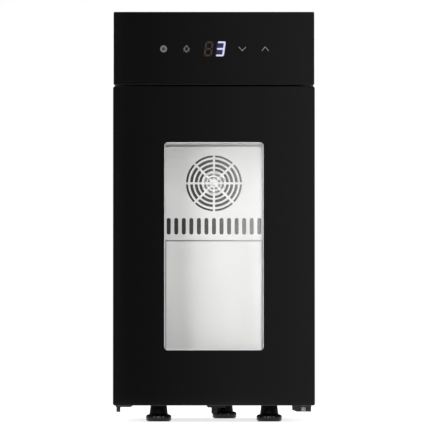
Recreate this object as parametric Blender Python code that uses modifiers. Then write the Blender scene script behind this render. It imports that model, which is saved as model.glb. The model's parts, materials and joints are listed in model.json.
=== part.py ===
"""A slim countertop cooling cabinet with a glass door, a touch control head and a fan-cooled chamber.

The front faces -Y, +Z is up, and the origin is on the floor under the middle of the cabinet.
"""

import math

import bmesh
import bpy
from mathutils import Matrix, Vector

MM = 0.001

# Fits
FIT = 0.3 * MM  # gap between pieces that rest on each other
RUN = 0.08 * MM  # radial clearance of a turning fit
PAST = 2 * MM  # how far a cutter runs past the face it opens
ROUND = 24  # sides of a small round piece
BORE = 24  # sides of a running fit and of a large round piece
SLOT_SIDES = 3  # flats round each corner of a slot
VENT_SIDES = 2  # flats round each corner of a rear vent
HOLE_SIDES = 12  # sides of a screw and of a screw hole
RING_SIDES = 16  # sides of a grille ring smaller than SMALL_RING
SMALL_RING = 15 * MM

# Overall
DOOR_WIDTH = 226 * MM
HEAD_INSET = 0.5 * MM  # how far each side of the head stands inside the door's
BODY_INSET = 0.8 * MM  # the same for the cabinet's body
HEIGHT = 459.4 * MM
HEAD_HEIGHT = 81.7 * MM
HEAD_GAP = 2 * MM
DOOR_BOTTOM = 18.5 * MM
BASE_BOTTOM = 20 * MM
DOOR_DEPTH = 34 * MM
GASKET_DEPTH = 10 * MM

# Glass
GLASS = 4 * MM
GLASS_CORNER = 2.2 * MM
HEAD_CORNER = 1.4 * MM

# Door
DOOR_EDGE = 1 * MM  # how far the door's frame stands inside the glass
DOOR_WALL = 2.5 * MM
DOOR_POCKET = 3 * MM  # from the spacer's outer edge to the frame's hollow
PANE_CORNER = 4 * MM
SPACER_CORNER = 3 * MM
GASKET_OVER_CHAMBER = 38 * MM
GASKET_WIDTH = 12 * MM
GASKET_CORNER = 8 * MM

# Window and chamber
WINDOW_SIDE_MARGIN = 57.35 * MM
WINDOW_TOP_MARGIN = 62.4 * MM
WINDOW_BOTTOM_MARGIN = 61.8 * MM
SPACER_DEPTH = 12 * MM
SPACER_SHOWS = 1.4 * MM
SPACER_WIDTH = 7 * MM
THROAT_SETBACK = 0.9 * MM
CHAMBER_OVER_WINDOW = 2.35 * MM
CHAMBER_RISE = 8 * MM
CHAMBER_DROP = 2.3 * MM
CHAMBER_CORNER = 4 * MM
CHAMBER_REACH = 300 * MM  # from the front of the door glass to the fan cover
DUCT_DEPTH = 49 * MM  # from the fan cover's front to the liner's back wall
LINER = 1 * MM
BACK_FOAM = 23 * MM
TOP_FOAM = 29 * MM
LAMP_POCKET = 12 * MM
LAMP_POCKET_GAP = 3 * MM
STUD_POCKET_GAP = 2 * MM

# Sheet metal
WRAP = 1 * MM
WRAP_CORNER = 2 * MM
FLANGE = 12 * MM
BASE = 1.5 * MM
BASE_FLANGE = 8 * MM
FRONT_FRAME = 2 * MM
FRAME_OVER_DOOR = 22 * MM
REAR_COVER = 1.2 * MM

# Fan cover and duct panel
COVER = 1 * MM
COVER_LIP = 12 * MM
COVER_LAP = 4 * MM
FAN_ROOM = 4.3 * MM  # from the fan's frame to the ceiling
GRILLE_RINGS = [(32.9, 30.5), (28.1, 24.8), (22.7, 19.3), (17.5, 14.5), (12.0, 9.5), (7.6, 5.2)]
GRILLE_SPOKE = 2.5 * MM
SLOT_WIDTH = 4.7 * MM
SLOT_HEIGHT = 19.6 * MM
SLOT_PITCH = 8.87 * MM
SLOT_BELOW_FAN = 10.5 * MM  # from the fan's frame to the middle of the slots
COVER_BELOW_SLOTS = 16.5 * MM
SLOT_EDGE = 2.3 * MM

# Fans
FAN_CORNER = 3 * MM
FAN_FIXING = 4.75 * MM  # from a fan's edge to its screw holes
FAN_PLAY = 1 * MM  # before and behind a rotor
BLADE_SINK = 1.5 * MM  # how far a blade's root runs into the hub
BLADE_SHARE = 0.8  # of the hub's edge that the blades may take up
FAN = 80 * MM
FAN_DEPTH = 15 * MM
FAN_HUB = 16 * MM
EXHAUST_FAN = 92 * MM
EXHAUST_DEPTH = 25 * MM
EXHAUST_HUB = 20 * MM
FAN_RIM = 2.5 * MM
TIP_GAP = 1 * MM
BLADES = 7
BLADE = 1.2 * MM
BLADE_PITCH = 38
SHAFT = 2 * MM
SPIDER = 2.5 * MM
SPIDER_ARM = 4 * MM

# Cooling unit
COLD_SINK = 80 * MM
COLD_FIN = 22 * MM
COLD_BASE = 6 * MM
COLD_GAP = 2.5 * MM  # behind the cold sink
MODULE_GAP = 2.5 * MM  # behind the foam
MODULE = 40 * MM
MODULE_DEPTH = 4 * MM
SEAL_WIDTH = 14 * MM
BLOCK_GAP = 1 * MM
HOT_SINK = 110 * MM
HOT_FIN = 25.2 * MM
HOT_BASE = 6 * MM
FIN = 1.5 * MM
FIN_PITCH = 6.5 * MM

# Guard, screws and vents
GUARD = 3 * MM
GUARD_CORNER = 6 * MM
GUARD_SEAT = 2.5 * MM
GUARD_RINGS = [(42.5, 35.5), (32.5, 25.5), (22.5, 15.5)]
GUARD_SPOKE = 3 * MM
SCREW_SHANK = 1.8 * MM
SCREW_HOLE = 2.2 * MM
SCREW_HEAD = 3.5 * MM
SCREW_HEAD_HEIGHT = 2.2 * MM
SCREW_CROWN = (0.6, 0.4)  # where a head's slope starts: shares of its radius and height
SCREW_LENGTH = 8 * MM
COVER_SCREW_INSET = 7 * MM
COVER_SCREW_END = 15 * MM
VENT = (62 * MM, 4.5 * MM)
VENT_PITCH = 10 * MM
VENT_ROWS = 6
VENT_SPACE = 8 * MM  # from the middle to a column of vents
VENT_BELOW_TOP = 30 * MM
VENT_BELOW_FAN = 25 * MM

# Head
HEAD_WALL = 3 * MM
TOUCH_BOARD = (176 * MM, 46 * MM, 1.6 * MM)
CONTROL_DROP = 41.1 * MM  # the row of controls below the top
DISPLAY = (30 * MM, 21 * MM, 8 * MM)
DISPLAY_X = 1.2 * MM
CONTROL_BOARD = (120 * MM, 80 * MM, 1.6 * MM)
CONTROL_BOARD_LIFT = 6 * MM
CONTROL_BOARD_SETBACK = 30 * MM
# Parts on the control board: name, place across, place back, size, height
COMPONENTS = (
    ("relay", -40 * MM, 20 * MM, 16 * MM, 15 * MM),
    ("coil", -5 * MM, 50 * MM, 20 * MM, 12 * MM),
    ("capacitor", 35 * MM, 30 * MM, 12 * MM, 20 * MM),
)

# Hinge
HINGE_INSET = 12.6 * MM
HINGE_SETBACK = 24 * MM
PIN = 3 * MM
PIN_DROP = 4.7 * MM
BUSH = 5 * MM
BUSH_HEIGHT = 10 * MM
BUSH_ROOM = 1 * MM  # above a bush, and from a pin's end to the bush's
BUSH_BLOCK = 9 * MM
BUSH_BLOCK_HEIGHT = 14 * MM
BRACKET = 1.6 * MM
BRACKET_GAP = 0.6 * MM
BRACKET_LEFT = 12.5 * MM  # from the pin to the bracket's inner end
BRACKET_RIGHT = 8.9 * MM  # from the pin to its outer end
BRACKET_DROP = 5 * MM
BRACKET_WEB = 2 * MM
BRACKET_FRONT = 11 * MM  # from the glass to the hinge brackets
BRACKET_BEND = 4 * MM  # from the bend to the body's front
BRACKET_REACH = 55 * MM  # under the base
BRACKET_SLOPE = 2 * MM  # rise of the web's lower edge
BRACKET_SLOPE_END = 7.25 * MM  # from the pin to the slope's end
WEB_BEHIND_PIN = 2 * MM
UPPER_LEG = 16 * MM
UPPER_PIN_REACH = 4.8 * MM  # above the upper bracket's underside
SHELF = 27 * MM

# Left bracket, from the door's left edge
LEFT_BRACKET_SETBACK = 1 * MM
LEFT_BRACKET_DROP = 3.7 * MM
LEFT_TAB_DROP = 9.2 * MM
LEFT_START = 2 * MM
LEFT_TAB = (3 * MM, 7.6 * MM)
LEFT_CHAMFER = 0.6 * MM
LEFT_FOOT_END = 19.5 * MM
LEFT_END = 22.5 * MM
LEFT_SHELF = (4 * MM, 20 * MM)

# Rear bracket, from the rear foot's middle
REAR_BRACKET_AHEAD = 6 * MM
REAR_BRACKET_DROP = 7 * MM
REAR_TAB_DROP = 14 * MM
REAR_START = 23 * MM
REAR_FOOT_START = 20 * MM
REAR_TAB = (15.5 * MM, 9 * MM)
REAR_END = 1.6 * MM
REAR_SHELF = (18 * MM, 1 * MM)

# Feet
FOOT_INSET = 49.7 * MM
FOOT_SETBACK = 65 * MM
REAR_FOOT = (12.4 * MM, 380 * MM)
FOOT_FLANGE = 14.4 * MM
FOOT_FLANGE_HEIGHT = 8 * MM
FOOT_EDGE = 1.4 * MM
FOOT_TOP = 9.1 * MM
FOOT_BOTTOM = 10.4 * MM
STUD = 4 * MM
STUD_LENGTH = 27.5 * MM
STUD_SEAT = 6 * MM
NUT_FLATS = 13 * MM
NUT = 6 * MM

# Small fittings
LAMP = (50 * MM, 10 * MM)
LAMP_SETBACK = 100 * MM
LAMP_DROP = 1.5 * MM
LAMP_RISE = 4 * MM
LAMP_BOARD_EDGE = 1 * MM
LAMP_BOARD = 1.6 * MM
SUPPLY = (95 * MM, 40 * MM, 110 * MM)
SUPPLY_LEFT = 60 * MM
SUPPLY_BOTTOM = 48 * MM
SUPPLY_GAP = 3 * MM
SUPPLY_CORNER = 2 * MM
INLET = (27 * MM, 20 * MM)
INLET_PLACE = (68 * MM, 58 * MM)
INLET_DEPTH = 16 * MM
INLET_SOCKET = 12 * MM
INLET_WALL = 3 * MM
INLET_FLANGE = 3 * MM
INLET_FLANGE_DEPTH = 2.4 * MM

# Heights that follow
DOOR_TOP = HEIGHT - HEAD_HEIGHT - HEAD_GAP
HEAD_BOTTOM = HEIGHT - HEAD_HEIGHT
WINDOW_TOP = DOOR_TOP - WINDOW_TOP_MARGIN
WINDOW_BOTTOM = DOOR_BOTTOM + WINDOW_BOTTOM_MARGIN
CEILING = WINDOW_TOP + CHAMBER_RISE
FLOOR = WINDOW_BOTTOM - CHAMBER_DROP
FAN_Z = CEILING - FAN_ROOM - FAN / 2
SLOT_Z = FAN_Z - FAN / 2 - SLOT_BELOW_FAN
SEAM = SLOT_Z - COVER_BELOW_SLOTS
FOAM_TOP = CEILING + TOP_FOAM
FOAM_BOTTOM = BASE_BOTTOM + BASE_FLANGE + FIT
BRACKET_TOP = DOOR_BOTTOM - BRACKET_GAP
BRACKET_FOOT = BRACKET_TOP - BRACKET - BRACKET_DROP
CONTROL_Z = HEIGHT - CONTROL_DROP

# Half widths that follow
WINDOW_HALF = DOOR_WIDTH / 2 - WINDOW_SIDE_MARGIN
CHAMBER_HALF = WINDOW_HALF + CHAMBER_OVER_WINDOW
HEAD_HALF = DOOR_WIDTH / 2 - HEAD_INSET
BODY_HALF = DOOR_WIDTH / 2 - BODY_INSET
SPACER_IN = WINDOW_HALF - SPACER_SHOWS
SPACER_OUT = SPACER_IN + SPACER_WIDTH
HINGE_X = DOOR_WIDTH / 2 - HINGE_INSET

# Depths from the front that follow, then the places along Y
BODY_IN = DOOR_DEPTH + GASKET_DEPTH
LINER_BACK_IN = CHAMBER_REACH + DUCT_DEPTH
FOAM_BACK_IN = LINER_BACK_IN + LINER + BACK_FOAM
MODULE_IN = FOAM_BACK_IN + MODULE_GAP
SINK_IN = MODULE_IN + MODULE_DEPTH + FIT
EXHAUST_IN = SINK_IN + HOT_BASE + HOT_FIN + FIT
WRAP_END_IN = EXHAUST_IN + EXHAUST_DEPTH + FIT
DEPTH = WRAP_END_IN + FIT + REAR_COVER + FIT + GUARD
FRONT = -DEPTH / 2
BODY_FRONT = FRONT + BODY_IN
FRAME_BACK = BODY_FRONT + FRONT_FRAME
PLATE = FRONT + CHAMBER_REACH
LINER_BACK = FRONT + LINER_BACK_IN
FOAM_BACK = FRONT + FOAM_BACK_IN
WRAP_END = FRONT + WRAP_END_IN
COVER_FRONT = WRAP_END + FIT
COVER_BACK = COVER_FRONT + REAR_COVER
HINGE_Y = FRONT + HINGE_SETBACK

DOOR_PIECES = (
    "door_outer_glass",
    "glass_spacer",
    "door_inner_glass",
    "door_frame",
    "door_insulation",
    "door_gasket",
    "lower_hinge_bush",
    "upper_hinge_bush",
)

# name: (colour, roughness, metallic)
FINISHES = {
    "black_paint": ((0.02, 0.02, 0.022), 0.45, 0.3),
    "black_glass": ((0.008, 0.008, 0.009), 0.06, 0.0),
    "clear_glass": ((0.85, 0.9, 0.88), 0.03, 0.0),
    "stainless": ((0.72, 0.72, 0.71), 0.32, 1.0),
    "aluminium": ((0.75, 0.76, 0.77), 0.4, 1.0),
    "zinc_steel": ((0.6, 0.6, 0.6), 0.35, 1.0),
    "bracket_grey": ((0.05, 0.05, 0.052), 0.5, 0.2),
    "black_plastic": ((0.02, 0.02, 0.02), 0.5, 0.0),
    "foot_plastic": ((0.008, 0.008, 0.008), 0.3, 0.0),
    "soft_seal": ((0.03, 0.03, 0.03), 0.8, 0.0),
    "foam": ((0.8, 0.75, 0.6), 0.9, 0.0),
    "circuit_board": ((0.02, 0.12, 0.05), 0.5, 0.0),
    "ceramic": ((0.9, 0.9, 0.88), 0.5, 0.0),
    "lamp_white": ((0.9, 0.9, 0.9), 0.4, 0.0),
}


def start_scene():
    """Clears the scene and makes the two collections."""
    for old in list(bpy.data.objects):
        bpy.data.objects.remove(old, do_unlink=True)
    for name in ("cooling_cabinet", "cutters"):
        bpy.context.scene.collection.children.link(bpy.data.collections.new(name))


def finish_of(name):
    """The material of that name, made the first time it is asked for."""
    if name in bpy.data.materials:
        return bpy.data.materials[name]
    colour, roughness, metallic = FINISHES[name]
    material = bpy.data.materials.new(name)
    material.use_nodes = True
    shader = material.node_tree.nodes["Principled BSDF"]
    shader.inputs["Base Color"].default_value = (*colour, 1.0)
    shader.inputs["Roughness"].default_value = roughness
    shader.inputs["Metallic"].default_value = metallic
    return material


def place(name, mesh, location, finish):
    """Links the mesh as a part, or as a cutter when it has no finish."""
    item = bpy.data.objects.new(name, mesh)
    item.location = location
    if finish:
        bpy.data.collections["cooling_cabinet"].objects.link(item)
        mesh.materials.append(finish_of(finish))
        return item
    bpy.data.collections["cutters"].objects.link(item)
    item.hide_render = True
    item.display_type = "WIRE"
    return item


def mesh_from(name, shape):
    mesh = bpy.data.meshes.new(name)
    shape.to_mesh(mesh)
    shape.free()
    return mesh


def block(name, low, high, finish=None, corner=0.0, along="Y", segments=3):
    """A box between two corners. A corner radius rounds the four edges along one axis."""
    low, high = Vector(low), Vector(high)
    shape = bmesh.new()
    bmesh.ops.create_cube(shape, size=1.0, matrix=Matrix.Diagonal((*(high - low), 1.0)))
    if corner:
        other = [i for i in range(3) if i != "XYZ".index(along)]
        edges = []
        for edge in shape.edges:
            run = edge.verts[0].co - edge.verts[1].co
            if all(abs(run[i]) < 1e-7 for i in other):
                edges.append(edge)
        bmesh.ops.bevel(
            shape, geom=edges, offset=corner, segments=segments, profile=0.5, affect="EDGES"
        )
    return place(name, mesh_from(name, shape), (low + high) / 2, finish)


AXIS_TURN = {
    "X": Matrix.Rotation(math.pi / 2, 4, "Y"),
    "Y": Matrix.Rotation(math.pi / 2, 4, "X"),
    "Z": Matrix.Identity(4),
}


def cylinder(name, radius, length, centre, axis="Y", finish=None, sides=ROUND):
    """A cylinder about an axis through its centre, shaded smooth round its side."""
    shape = bmesh.new()
    bmesh.ops.create_cone(
        shape, cap_ends=True, segments=sides, radius1=radius, radius2=radius, depth=length,
        matrix=AXIS_TURN[axis],
    )
    item = place(name, mesh_from(name, shape), centre, finish)
    item.data.shade_smooth()
    item.data.set_sharp_from_angle(angle=math.radians(35))
    return item


def turned(name, profile, centre, finish, axis="Z", sides=ROUND):
    """A profile of (radius, height) points, from the top axis point round the outside and down."""
    shape = bmesh.new()
    points = [shape.verts.new((radius, 0, height)) for radius, height in profile]
    for first, second in zip(points, points[1:]):
        shape.edges.new((first, second))
    item = place(name, mesh_from(name, shape), centre, finish)
    item.rotation_euler = AXIS_TURN[axis].to_euler()
    screw = item.modifiers.new("turn", "SCREW")
    screw.steps = sides
    screw.render_steps = sides
    screw.use_merge_vertices = True
    screw.merge_threshold = 0.0001 * MM
    screw.use_smooth_shade = True
    return item


def outline(name, points, low, high, axis, finish=None):
    """A flat outline extruded along an axis. The points are (y, z), (x, z) or (x, y)."""
    curve = bpy.data.curves.new(name, "CURVE")
    curve.dimensions = "2D"
    curve.fill_mode = "BOTH"
    curve.extrude = (high - low) / 2
    spline = curve.splines.new("POLY")
    spline.points.add(len(points) - 1)
    for point, (u, v) in zip(spline.points, points):
        point.co = (u, v, 0, 1)
    spline.use_cyclic_u = True
    guide = bpy.data.objects.new(name, curve)
    bpy.context.scene.collection.objects.link(guide)
    bpy.context.view_layer.update()
    graph = bpy.context.evaluated_depsgraph_get()
    mesh = bpy.data.meshes.new_from_object(guide.evaluated_get(graph))
    bpy.data.objects.remove(guide)
    shape = bmesh.new()
    shape.from_mesh(mesh)
    bmesh.ops.remove_doubles(shape, verts=shape.verts, dist=0.001 * MM)
    turn = {
        "X": Matrix(((0, 0, 1), (1, 0, 0), (0, 1, 0))),
        "Y": Matrix(((1, 0, 0), (0, 0, -1), (0, 1, 0))),
        "Z": Matrix.Identity(3),
    }[axis]
    bmesh.ops.transform(shape, matrix=turn.to_4x4(), verts=shape.verts)
    bmesh.ops.recalc_face_normals(shape, faces=shape.faces)
    shape.to_mesh(mesh)
    shape.free()
    mesh.materials.clear()
    centre = Vector((0, 0, 0))
    centre["XYZ".index(axis)] = (low + high) / 2
    return place(name, mesh, centre, finish)


def boolean(item, other, operation, solver="EXACT"):
    change = item.modifiers.new(other.name, "BOOLEAN")
    change.operation = operation
    change.solver = solver
    change.object = other
    return item


def cut(item, *cutters):
    for cutter in cutters:
        boolean(item, cutter, "DIFFERENCE")
    return item


def join(item, *others):
    for other in others:
        boolean(item, other, "UNION")
    return item


def slots(name, centres, width, height, low, high, segments=SLOT_SIDES):
    """One cutter holding a round-ended slot at each (x, z), through from y low to y high."""
    end = min(width, height) / 2 * 0.999
    shape = bmesh.new()
    for x, z in centres:
        size = Vector((width, high - low, height))
        at = Matrix.Translation((x, (low + high) / 2, z))
        made = bmesh.ops.create_cube(shape, size=1.0, matrix=at @ Matrix.Diagonal((*size, 1.0)))
        edges = set()
        for corner in made["verts"]:
            for edge in corner.link_edges:
                run = edge.verts[0].co - edge.verts[1].co
                if abs(run.x) < 1e-7 and abs(run.z) < 1e-7:
                    edges.add(edge)
        bmesh.ops.bevel(
            shape, geom=list(edges), offset=end, segments=segments, profile=0.5, affect="EDGES"
        )
    return place(name, mesh_from(name, shape), (0, 0, 0), None)


def holes(name, centres, radius, low, high):
    """One cutter holding a round hole at each (x, z), through from y low to y high."""
    shape = bmesh.new()
    for x, z in centres:
        at = Matrix.Translation((x, (low + high) / 2, z)) @ AXIS_TURN["Y"]
        bmesh.ops.create_cone(
            shape, cap_ends=True, segments=HOLE_SIDES, radius1=radius, radius2=radius,
            depth=high - low, matrix=at,
        )
    return place(name, mesh_from(name, shape), (0, 0, 0), None)


def grille(name, centre_z, rings, spoke, low, high, turns):
    """A cutter for a round grille: ring slots with straight spokes left between them."""
    sheet = bmesh.new()
    for outer, inner in rings:
        sides = BORE if outer * MM > SMALL_RING else RING_SIDES
        for radius in (outer * MM, inner * MM):
            bmesh.ops.create_circle(
                sheet, cap_ends=False, segments=sides, radius=radius, matrix=AXIS_TURN["Y"]
            )
        edges = [edge for edge in sheet.edges if not edge.link_faces]
        bmesh.ops.bridge_loops(sheet, edges=edges)
    faces = list(sheet.faces)
    bmesh.ops.transform(sheet, matrix=Matrix.Translation((0, low, centre_z)), verts=sheet.verts)
    grown = bmesh.ops.extrude_face_region(sheet, geom=faces, use_keep_orig=True)
    moved = [v for v in grown["geom"] if isinstance(v, bmesh.types.BMVert)]
    bmesh.ops.translate(sheet, verts=moved, vec=(0, high - low, 0))
    bmesh.ops.recalc_face_normals(sheet, faces=sheet.faces)
    cutter = place(name, mesh_from(name, sheet), (0, 0, 0), None)
    reach = rings[0][0] * MM + PAST
    for index in range(turns):
        bar = block(
            f"{name}_spoke_{index}", (-reach, low - PAST, -spoke / 2), (reach, high + PAST, spoke / 2)
        )
        bar.location = (0, (low + high) / 2, centre_z)
        bar.rotation_euler = (0, index * math.pi / turns, 0)
        cut(cutter, bar)
    return cutter


def make_wrap():
    """The folded steel wrap: two sides and the top, with flanges turned in at front and rear."""
    wrap = block(
        "outer_wrap",
        (-BODY_HALF, BODY_FRONT, BASE_BOTTOM),
        (BODY_HALF, WRAP_END, HEIGHT),
        "black_paint",
    )
    corner = wrap.modifiers.new("top_corner", "BEVEL")
    corner.width = WRAP_CORNER
    corner.segments = 2
    corner.limit_method = "WEIGHT"
    weights = wrap.data.attributes.new("bevel_weight_edge", "FLOAT", "EDGE")
    for edge in wrap.data.edges:
        first, second = (wrap.data.vertices[i].co for i in edge.vertices)
        if first.z > 0 and second.z > 0 and abs(first.x - second.x) < 1e-7:
            weights.data[edge.index].value = 1.0
    side = BODY_HALF - WRAP
    opening = BODY_HALF - FLANGE
    below = BASE_BOTTOM - PAST
    hollow_low = (-side, BODY_FRONT + WRAP, below)
    hollow_high = (side, WRAP_END - WRAP, HEIGHT - WRAP)
    flange_back = WRAP_END - 3 * WRAP
    cut(
        wrap,
        block("wrap_inside", hollow_low, hollow_high),
        block(
            "wrap_openings",
            (-opening, BODY_FRONT - PAST, below),
            (opening, WRAP_END + PAST, HEIGHT - FLANGE),
        ),
        holes("wrap_screw_holes", cover_screw_places(), SCREW_HOLE, flange_back, WRAP_END + PAST),
    )


def cover_screw_places():
    x = BODY_HALF - COVER_SCREW_INSET
    low = BASE_BOTTOM + COVER_SCREW_END
    high = HEIGHT - COVER_SCREW_END
    return [(-x, low), (x, low), (-x, high), (x, high)]


def foot_places():
    x = HEAD_HALF - FOOT_INSET - FIT
    return {
        "front_left": (-x, FRONT + FOOT_SETBACK),
        "front_right": (x, FRONT + FOOT_SETBACK),
        "rear": (REAR_FOOT[0], FRONT + REAR_FOOT[1]),
    }


def make_base():
    """The base plate, with a flange turned up all round and a hole for each foot's stud."""
    side = BODY_HALF - WRAP - FIT
    front, back = BODY_FRONT + WRAP + FIT, WRAP_END - WRAP - FIT
    top = BASE_BOTTOM + BASE_FLANGE
    base = block("base_plate", (-side, front, BASE_BOTTOM), (side, back, top), "black_paint")
    inside = side - BASE
    tray = block(
        "base_tray",
        (-inside, front + BASE, BASE_BOTTOM + BASE),
        (inside, back - BASE, top + PAST),
    )
    cut(base, tray)
    for name, (x, y) in foot_places().items():
        middle = (x, y, BASE_BOTTOM + BASE / 2)
        hole = cylinder(f"{name}_stud_hole", STUD + FIT, 4 * BASE, middle, "Z")
        cut(base, hole)


def make_front_frame():
    """The steel face round the chamber's opening, which the door gasket closes on."""
    side = BODY_HALF - FLANGE - FIT
    frame = block(
        "front_frame",
        (-side, BODY_FRONT, FOAM_BOTTOM),
        (side, FRAME_BACK, DOOR_TOP + FRAME_OVER_DOOR),
        "black_paint",
    )
    opening = block(
        "frame_opening",
        (-CHAMBER_HALF, BODY_FRONT - PAST, FLOOR),
        (CHAMBER_HALF, FRAME_BACK + PAST, CEILING),
        corner=CHAMBER_CORNER,
    )
    cut(frame, opening)


def module_hole(name, grow, low, high):
    half = MODULE / 2 + grow
    return block(name, (-half, low, FAN_Z - half), (half, high, FAN_Z + half))


def lamp_box(name, grow, low, high, finish=None):
    half = LAMP[0] / 2 + grow
    reach = LAMP[1] / 2 + grow
    y = FRONT + LAMP_SETBACK
    return block(name, (-half, y - reach, low), (half, y + reach, high), finish)


def make_liner():
    """The stainless chamber, open at the front, with its module hole and lamp slot."""
    side = CHAMBER_HALF + LINER
    liner = block(
        "chamber_liner",
        (-side, FRAME_BACK + FIT, FLOOR - LINER),
        (side, LINER_BACK + LINER, CEILING + LINER),
        "stainless",
        corner=CHAMBER_CORNER + LINER,
    )
    inside = block(
        "liner_inside",
        (-CHAMBER_HALF, FRAME_BACK - PAST, FLOOR),
        (CHAMBER_HALF, LINER_BACK, CEILING),
        corner=CHAMBER_CORNER,
    )
    cut(
        liner,
        inside,
        module_hole("liner_module_hole", BLOCK_GAP, LINER_BACK - PAST, LINER_BACK + LINER + PAST),
        lamp_box("liner_lamp_slot", FIT, CEILING - PAST, CEILING + LINER + PAST),
    )


def make_foam():
    """The moulded insulation between the wrap and the liner."""
    side = BODY_HALF - WRAP - FIT
    foam = block(
        "insulation_foam",
        (-side, FRAME_BACK + FIT, FOAM_BOTTOM),
        (side, FOAM_BACK, FOAM_TOP),
        "foam",
    )
    hollow = CHAMBER_HALF + LINER + FIT
    pocket = block(
        "foam_pocket",
        (-hollow, FRAME_BACK - PAST, FLOOR - LINER - FIT),
        (hollow, LINER_BACK + LINER + FIT, CEILING + LINER + FIT),
        corner=CHAMBER_CORNER + LINER,
    )
    cut(
        foam,
        pocket,
        module_hole("foam_module_hole", BLOCK_GAP, LINER_BACK, FOAM_BACK + PAST),
        lamp_box("foam_lamp_pocket", LAMP_POCKET_GAP, CEILING, CEILING + LAMP_POCKET),
    )
    stud_top = stud_span()[1]
    for name in ("front_left", "front_right"):
        x, y = foot_places()[name]
        height = stud_top + PAST - FOAM_BOTTOM + PAST
        middle = (x, y, FOAM_BOTTOM - PAST + height / 2)
        hole = cylinder(f"{name}_stud_pocket", STUD + STUD_POCKET_GAP, height, middle, "Z")
        cut(foam, hole)


def slot_centres():
    """As many slots as the cover's width takes, centred."""
    room = CHAMBER_HALF - SLOT_EDGE - SLOT_WIDTH / 2
    reach = int(room / SLOT_PITCH)
    return [(index * SLOT_PITCH, SLOT_Z) for index in range(-reach, reach + 1)]


def chamber_fill(name, inset):
    """A block that fills the chamber's section to a given distance from its walls."""
    side = CHAMBER_HALF - inset
    return block(
        name,
        (-side, PLATE - PAST, FLOOR + inset),
        (side, LINER_BACK, CEILING - inset),
        corner=CHAMBER_CORNER - inset,
    )


def make_fan_cover():
    """The stainless cover of the fan: a front sheet with lips turned back, a round grille and slots."""
    side = CHAMBER_HALF - FIT
    back = PLATE + COVER_LIP
    cover = block(
        "fan_cover", (-side - PAST, PLATE, SEAM), (side + PAST, back, CEILING + PAST), "stainless"
    )
    boolean(cover, chamber_fill("fan_cover_limit", FIT), "INTERSECT")
    hollow = block(
        "fan_cover_hollow",
        (-side + COVER, PLATE + COVER, SEAM - PAST),
        (side - COVER, back + PAST, CEILING - FIT - COVER),
        corner=CHAMBER_CORNER - FIT - COVER,
    )
    low, high = PLATE - PAST, PLATE + COVER + PAST
    cut(
        cover,
        hollow,
        slots("fan_cover_slots", slot_centres(), SLOT_WIDTH, SLOT_HEIGHT, low, high),
        grille("fan_cover_grille", FAN_Z, GRILLE_RINGS, GRILLE_SPOKE, low, high, 4),
    )


def make_duct_panel():
    """The plain stainless panel below the fan cover, lapped behind its lower edge."""
    inset = FIT + COVER + FIT
    side = CHAMBER_HALF - inset
    front = PLATE + COVER + FIT
    back = front + COVER_LIP
    top = SEAM + COVER_LAP
    panel = block(
        "duct_panel", (-side - PAST, front, FLOOR - PAST), (side + PAST, back, top), "stainless"
    )
    boolean(panel, chamber_fill("duct_panel_limit", inset), "INTERSECT")
    hollow = block(
        "duct_panel_hollow",
        (-side + COVER, front + COVER, FLOOR - PAST),
        (side - COVER, back + PAST, top + PAST),
    )
    cut(panel, hollow)


def make_fan(name, size, depth, hub, front, turn):
    """A square fan: frame with a rear spider and bearing hole, and a bladed rotor on a shaft."""
    half = size / 2
    bore = half - FAN_RIM
    back = front + depth
    frame = block(
        f"{name}_frame",
        (-half, front, FAN_Z - half),
        (half, back, FAN_Z + half),
        "black_plastic",
        corner=FAN_CORNER,
    )
    middle = (front + back) / 2
    spider_front = back - SPIDER
    bore_cut = cylinder(f"{name}_bore", bore, depth + 2 * PAST, (0, middle, FAN_Z), sides=BORE)
    spider_end = back + 2 * PAST
    hub_disc = cylinder(
        f"{name}_spider_hub",
        hub,
        spider_end - spider_front,
        (0, (spider_front + spider_end) / 2, FAN_Z),
        sides=BORE,
    )
    cut(bore_cut, hub_disc)
    for index in range(2):
        bar = block(
            f"{name}_arm_{index}",
            (-size, spider_front - middle, -SPIDER_ARM / 2),
            (size, spider_end - middle, SPIDER_ARM / 2),
        )
        bar.data.transform(Matrix.Translation(bar.location))
        bar.location = (0, middle, FAN_Z)
        bar.rotation_euler = (0, math.pi / 4 + index * math.pi / 2, 0)
        cut(bore_cut, bar)
    bearing_middle = (0, back - SPIDER / 2, FAN_Z)
    bearing = cylinder(f"{name}_bearing_hole", SHAFT + RUN, 4 * SPIDER, bearing_middle, sides=BORE)
    corners = fan_screw_places(size)
    screw_holes = holes(f"{name}_screw_holes", corners, SCREW_HOLE, front - PAST, back + PAST)
    cut(frame, bore_cut, bearing, screw_holes)

    rotor_front, rotor_back = front + FAN_PLAY, spider_front - FAN_PLAY
    length = rotor_back - rotor_front
    rotor_middle = (0, (rotor_front + rotor_back) / 2, FAN_Z)
    rotor = cylinder(f"{name}_rotor", hub, length, rotor_middle, "Y", "black_plastic", BORE)
    shaft_end = back - FIT
    shaft_length = shaft_end - rotor_back + PAST
    shaft_middle = (0, shaft_end - shaft_length / 2, FAN_Z)
    shaft = cylinder(f"{name}_shaft", SHAFT, shaft_length, shaft_middle, sides=BORE)
    tip = bore - TIP_GAP
    root = hub - BLADE_SINK
    chord = (length - FAN_PLAY) / math.cos(math.radians(BLADE_PITCH))
    chord = min(chord, 2 * math.pi * root / BLADES * BLADE_SHARE)
    shape = bmesh.new()
    for index in range(BLADES):
        around = Matrix.Rotation(index * 2 * math.pi / BLADES, 4, "Y")
        lean = Matrix.Rotation(math.radians(turn * BLADE_PITCH), 4, "Z")
        size_of = Matrix.Diagonal((BLADE, chord, tip - root, 1.0))
        out = Matrix.Translation((0, 0, (root + tip) / 2))
        bmesh.ops.create_cube(shape, size=1.0, matrix=around @ out @ lean @ size_of)
    blade_set = place(f"{name}_blades", mesh_from(name, shape), rotor_middle, None)
    join(rotor, shaft, blade_set)


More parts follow.
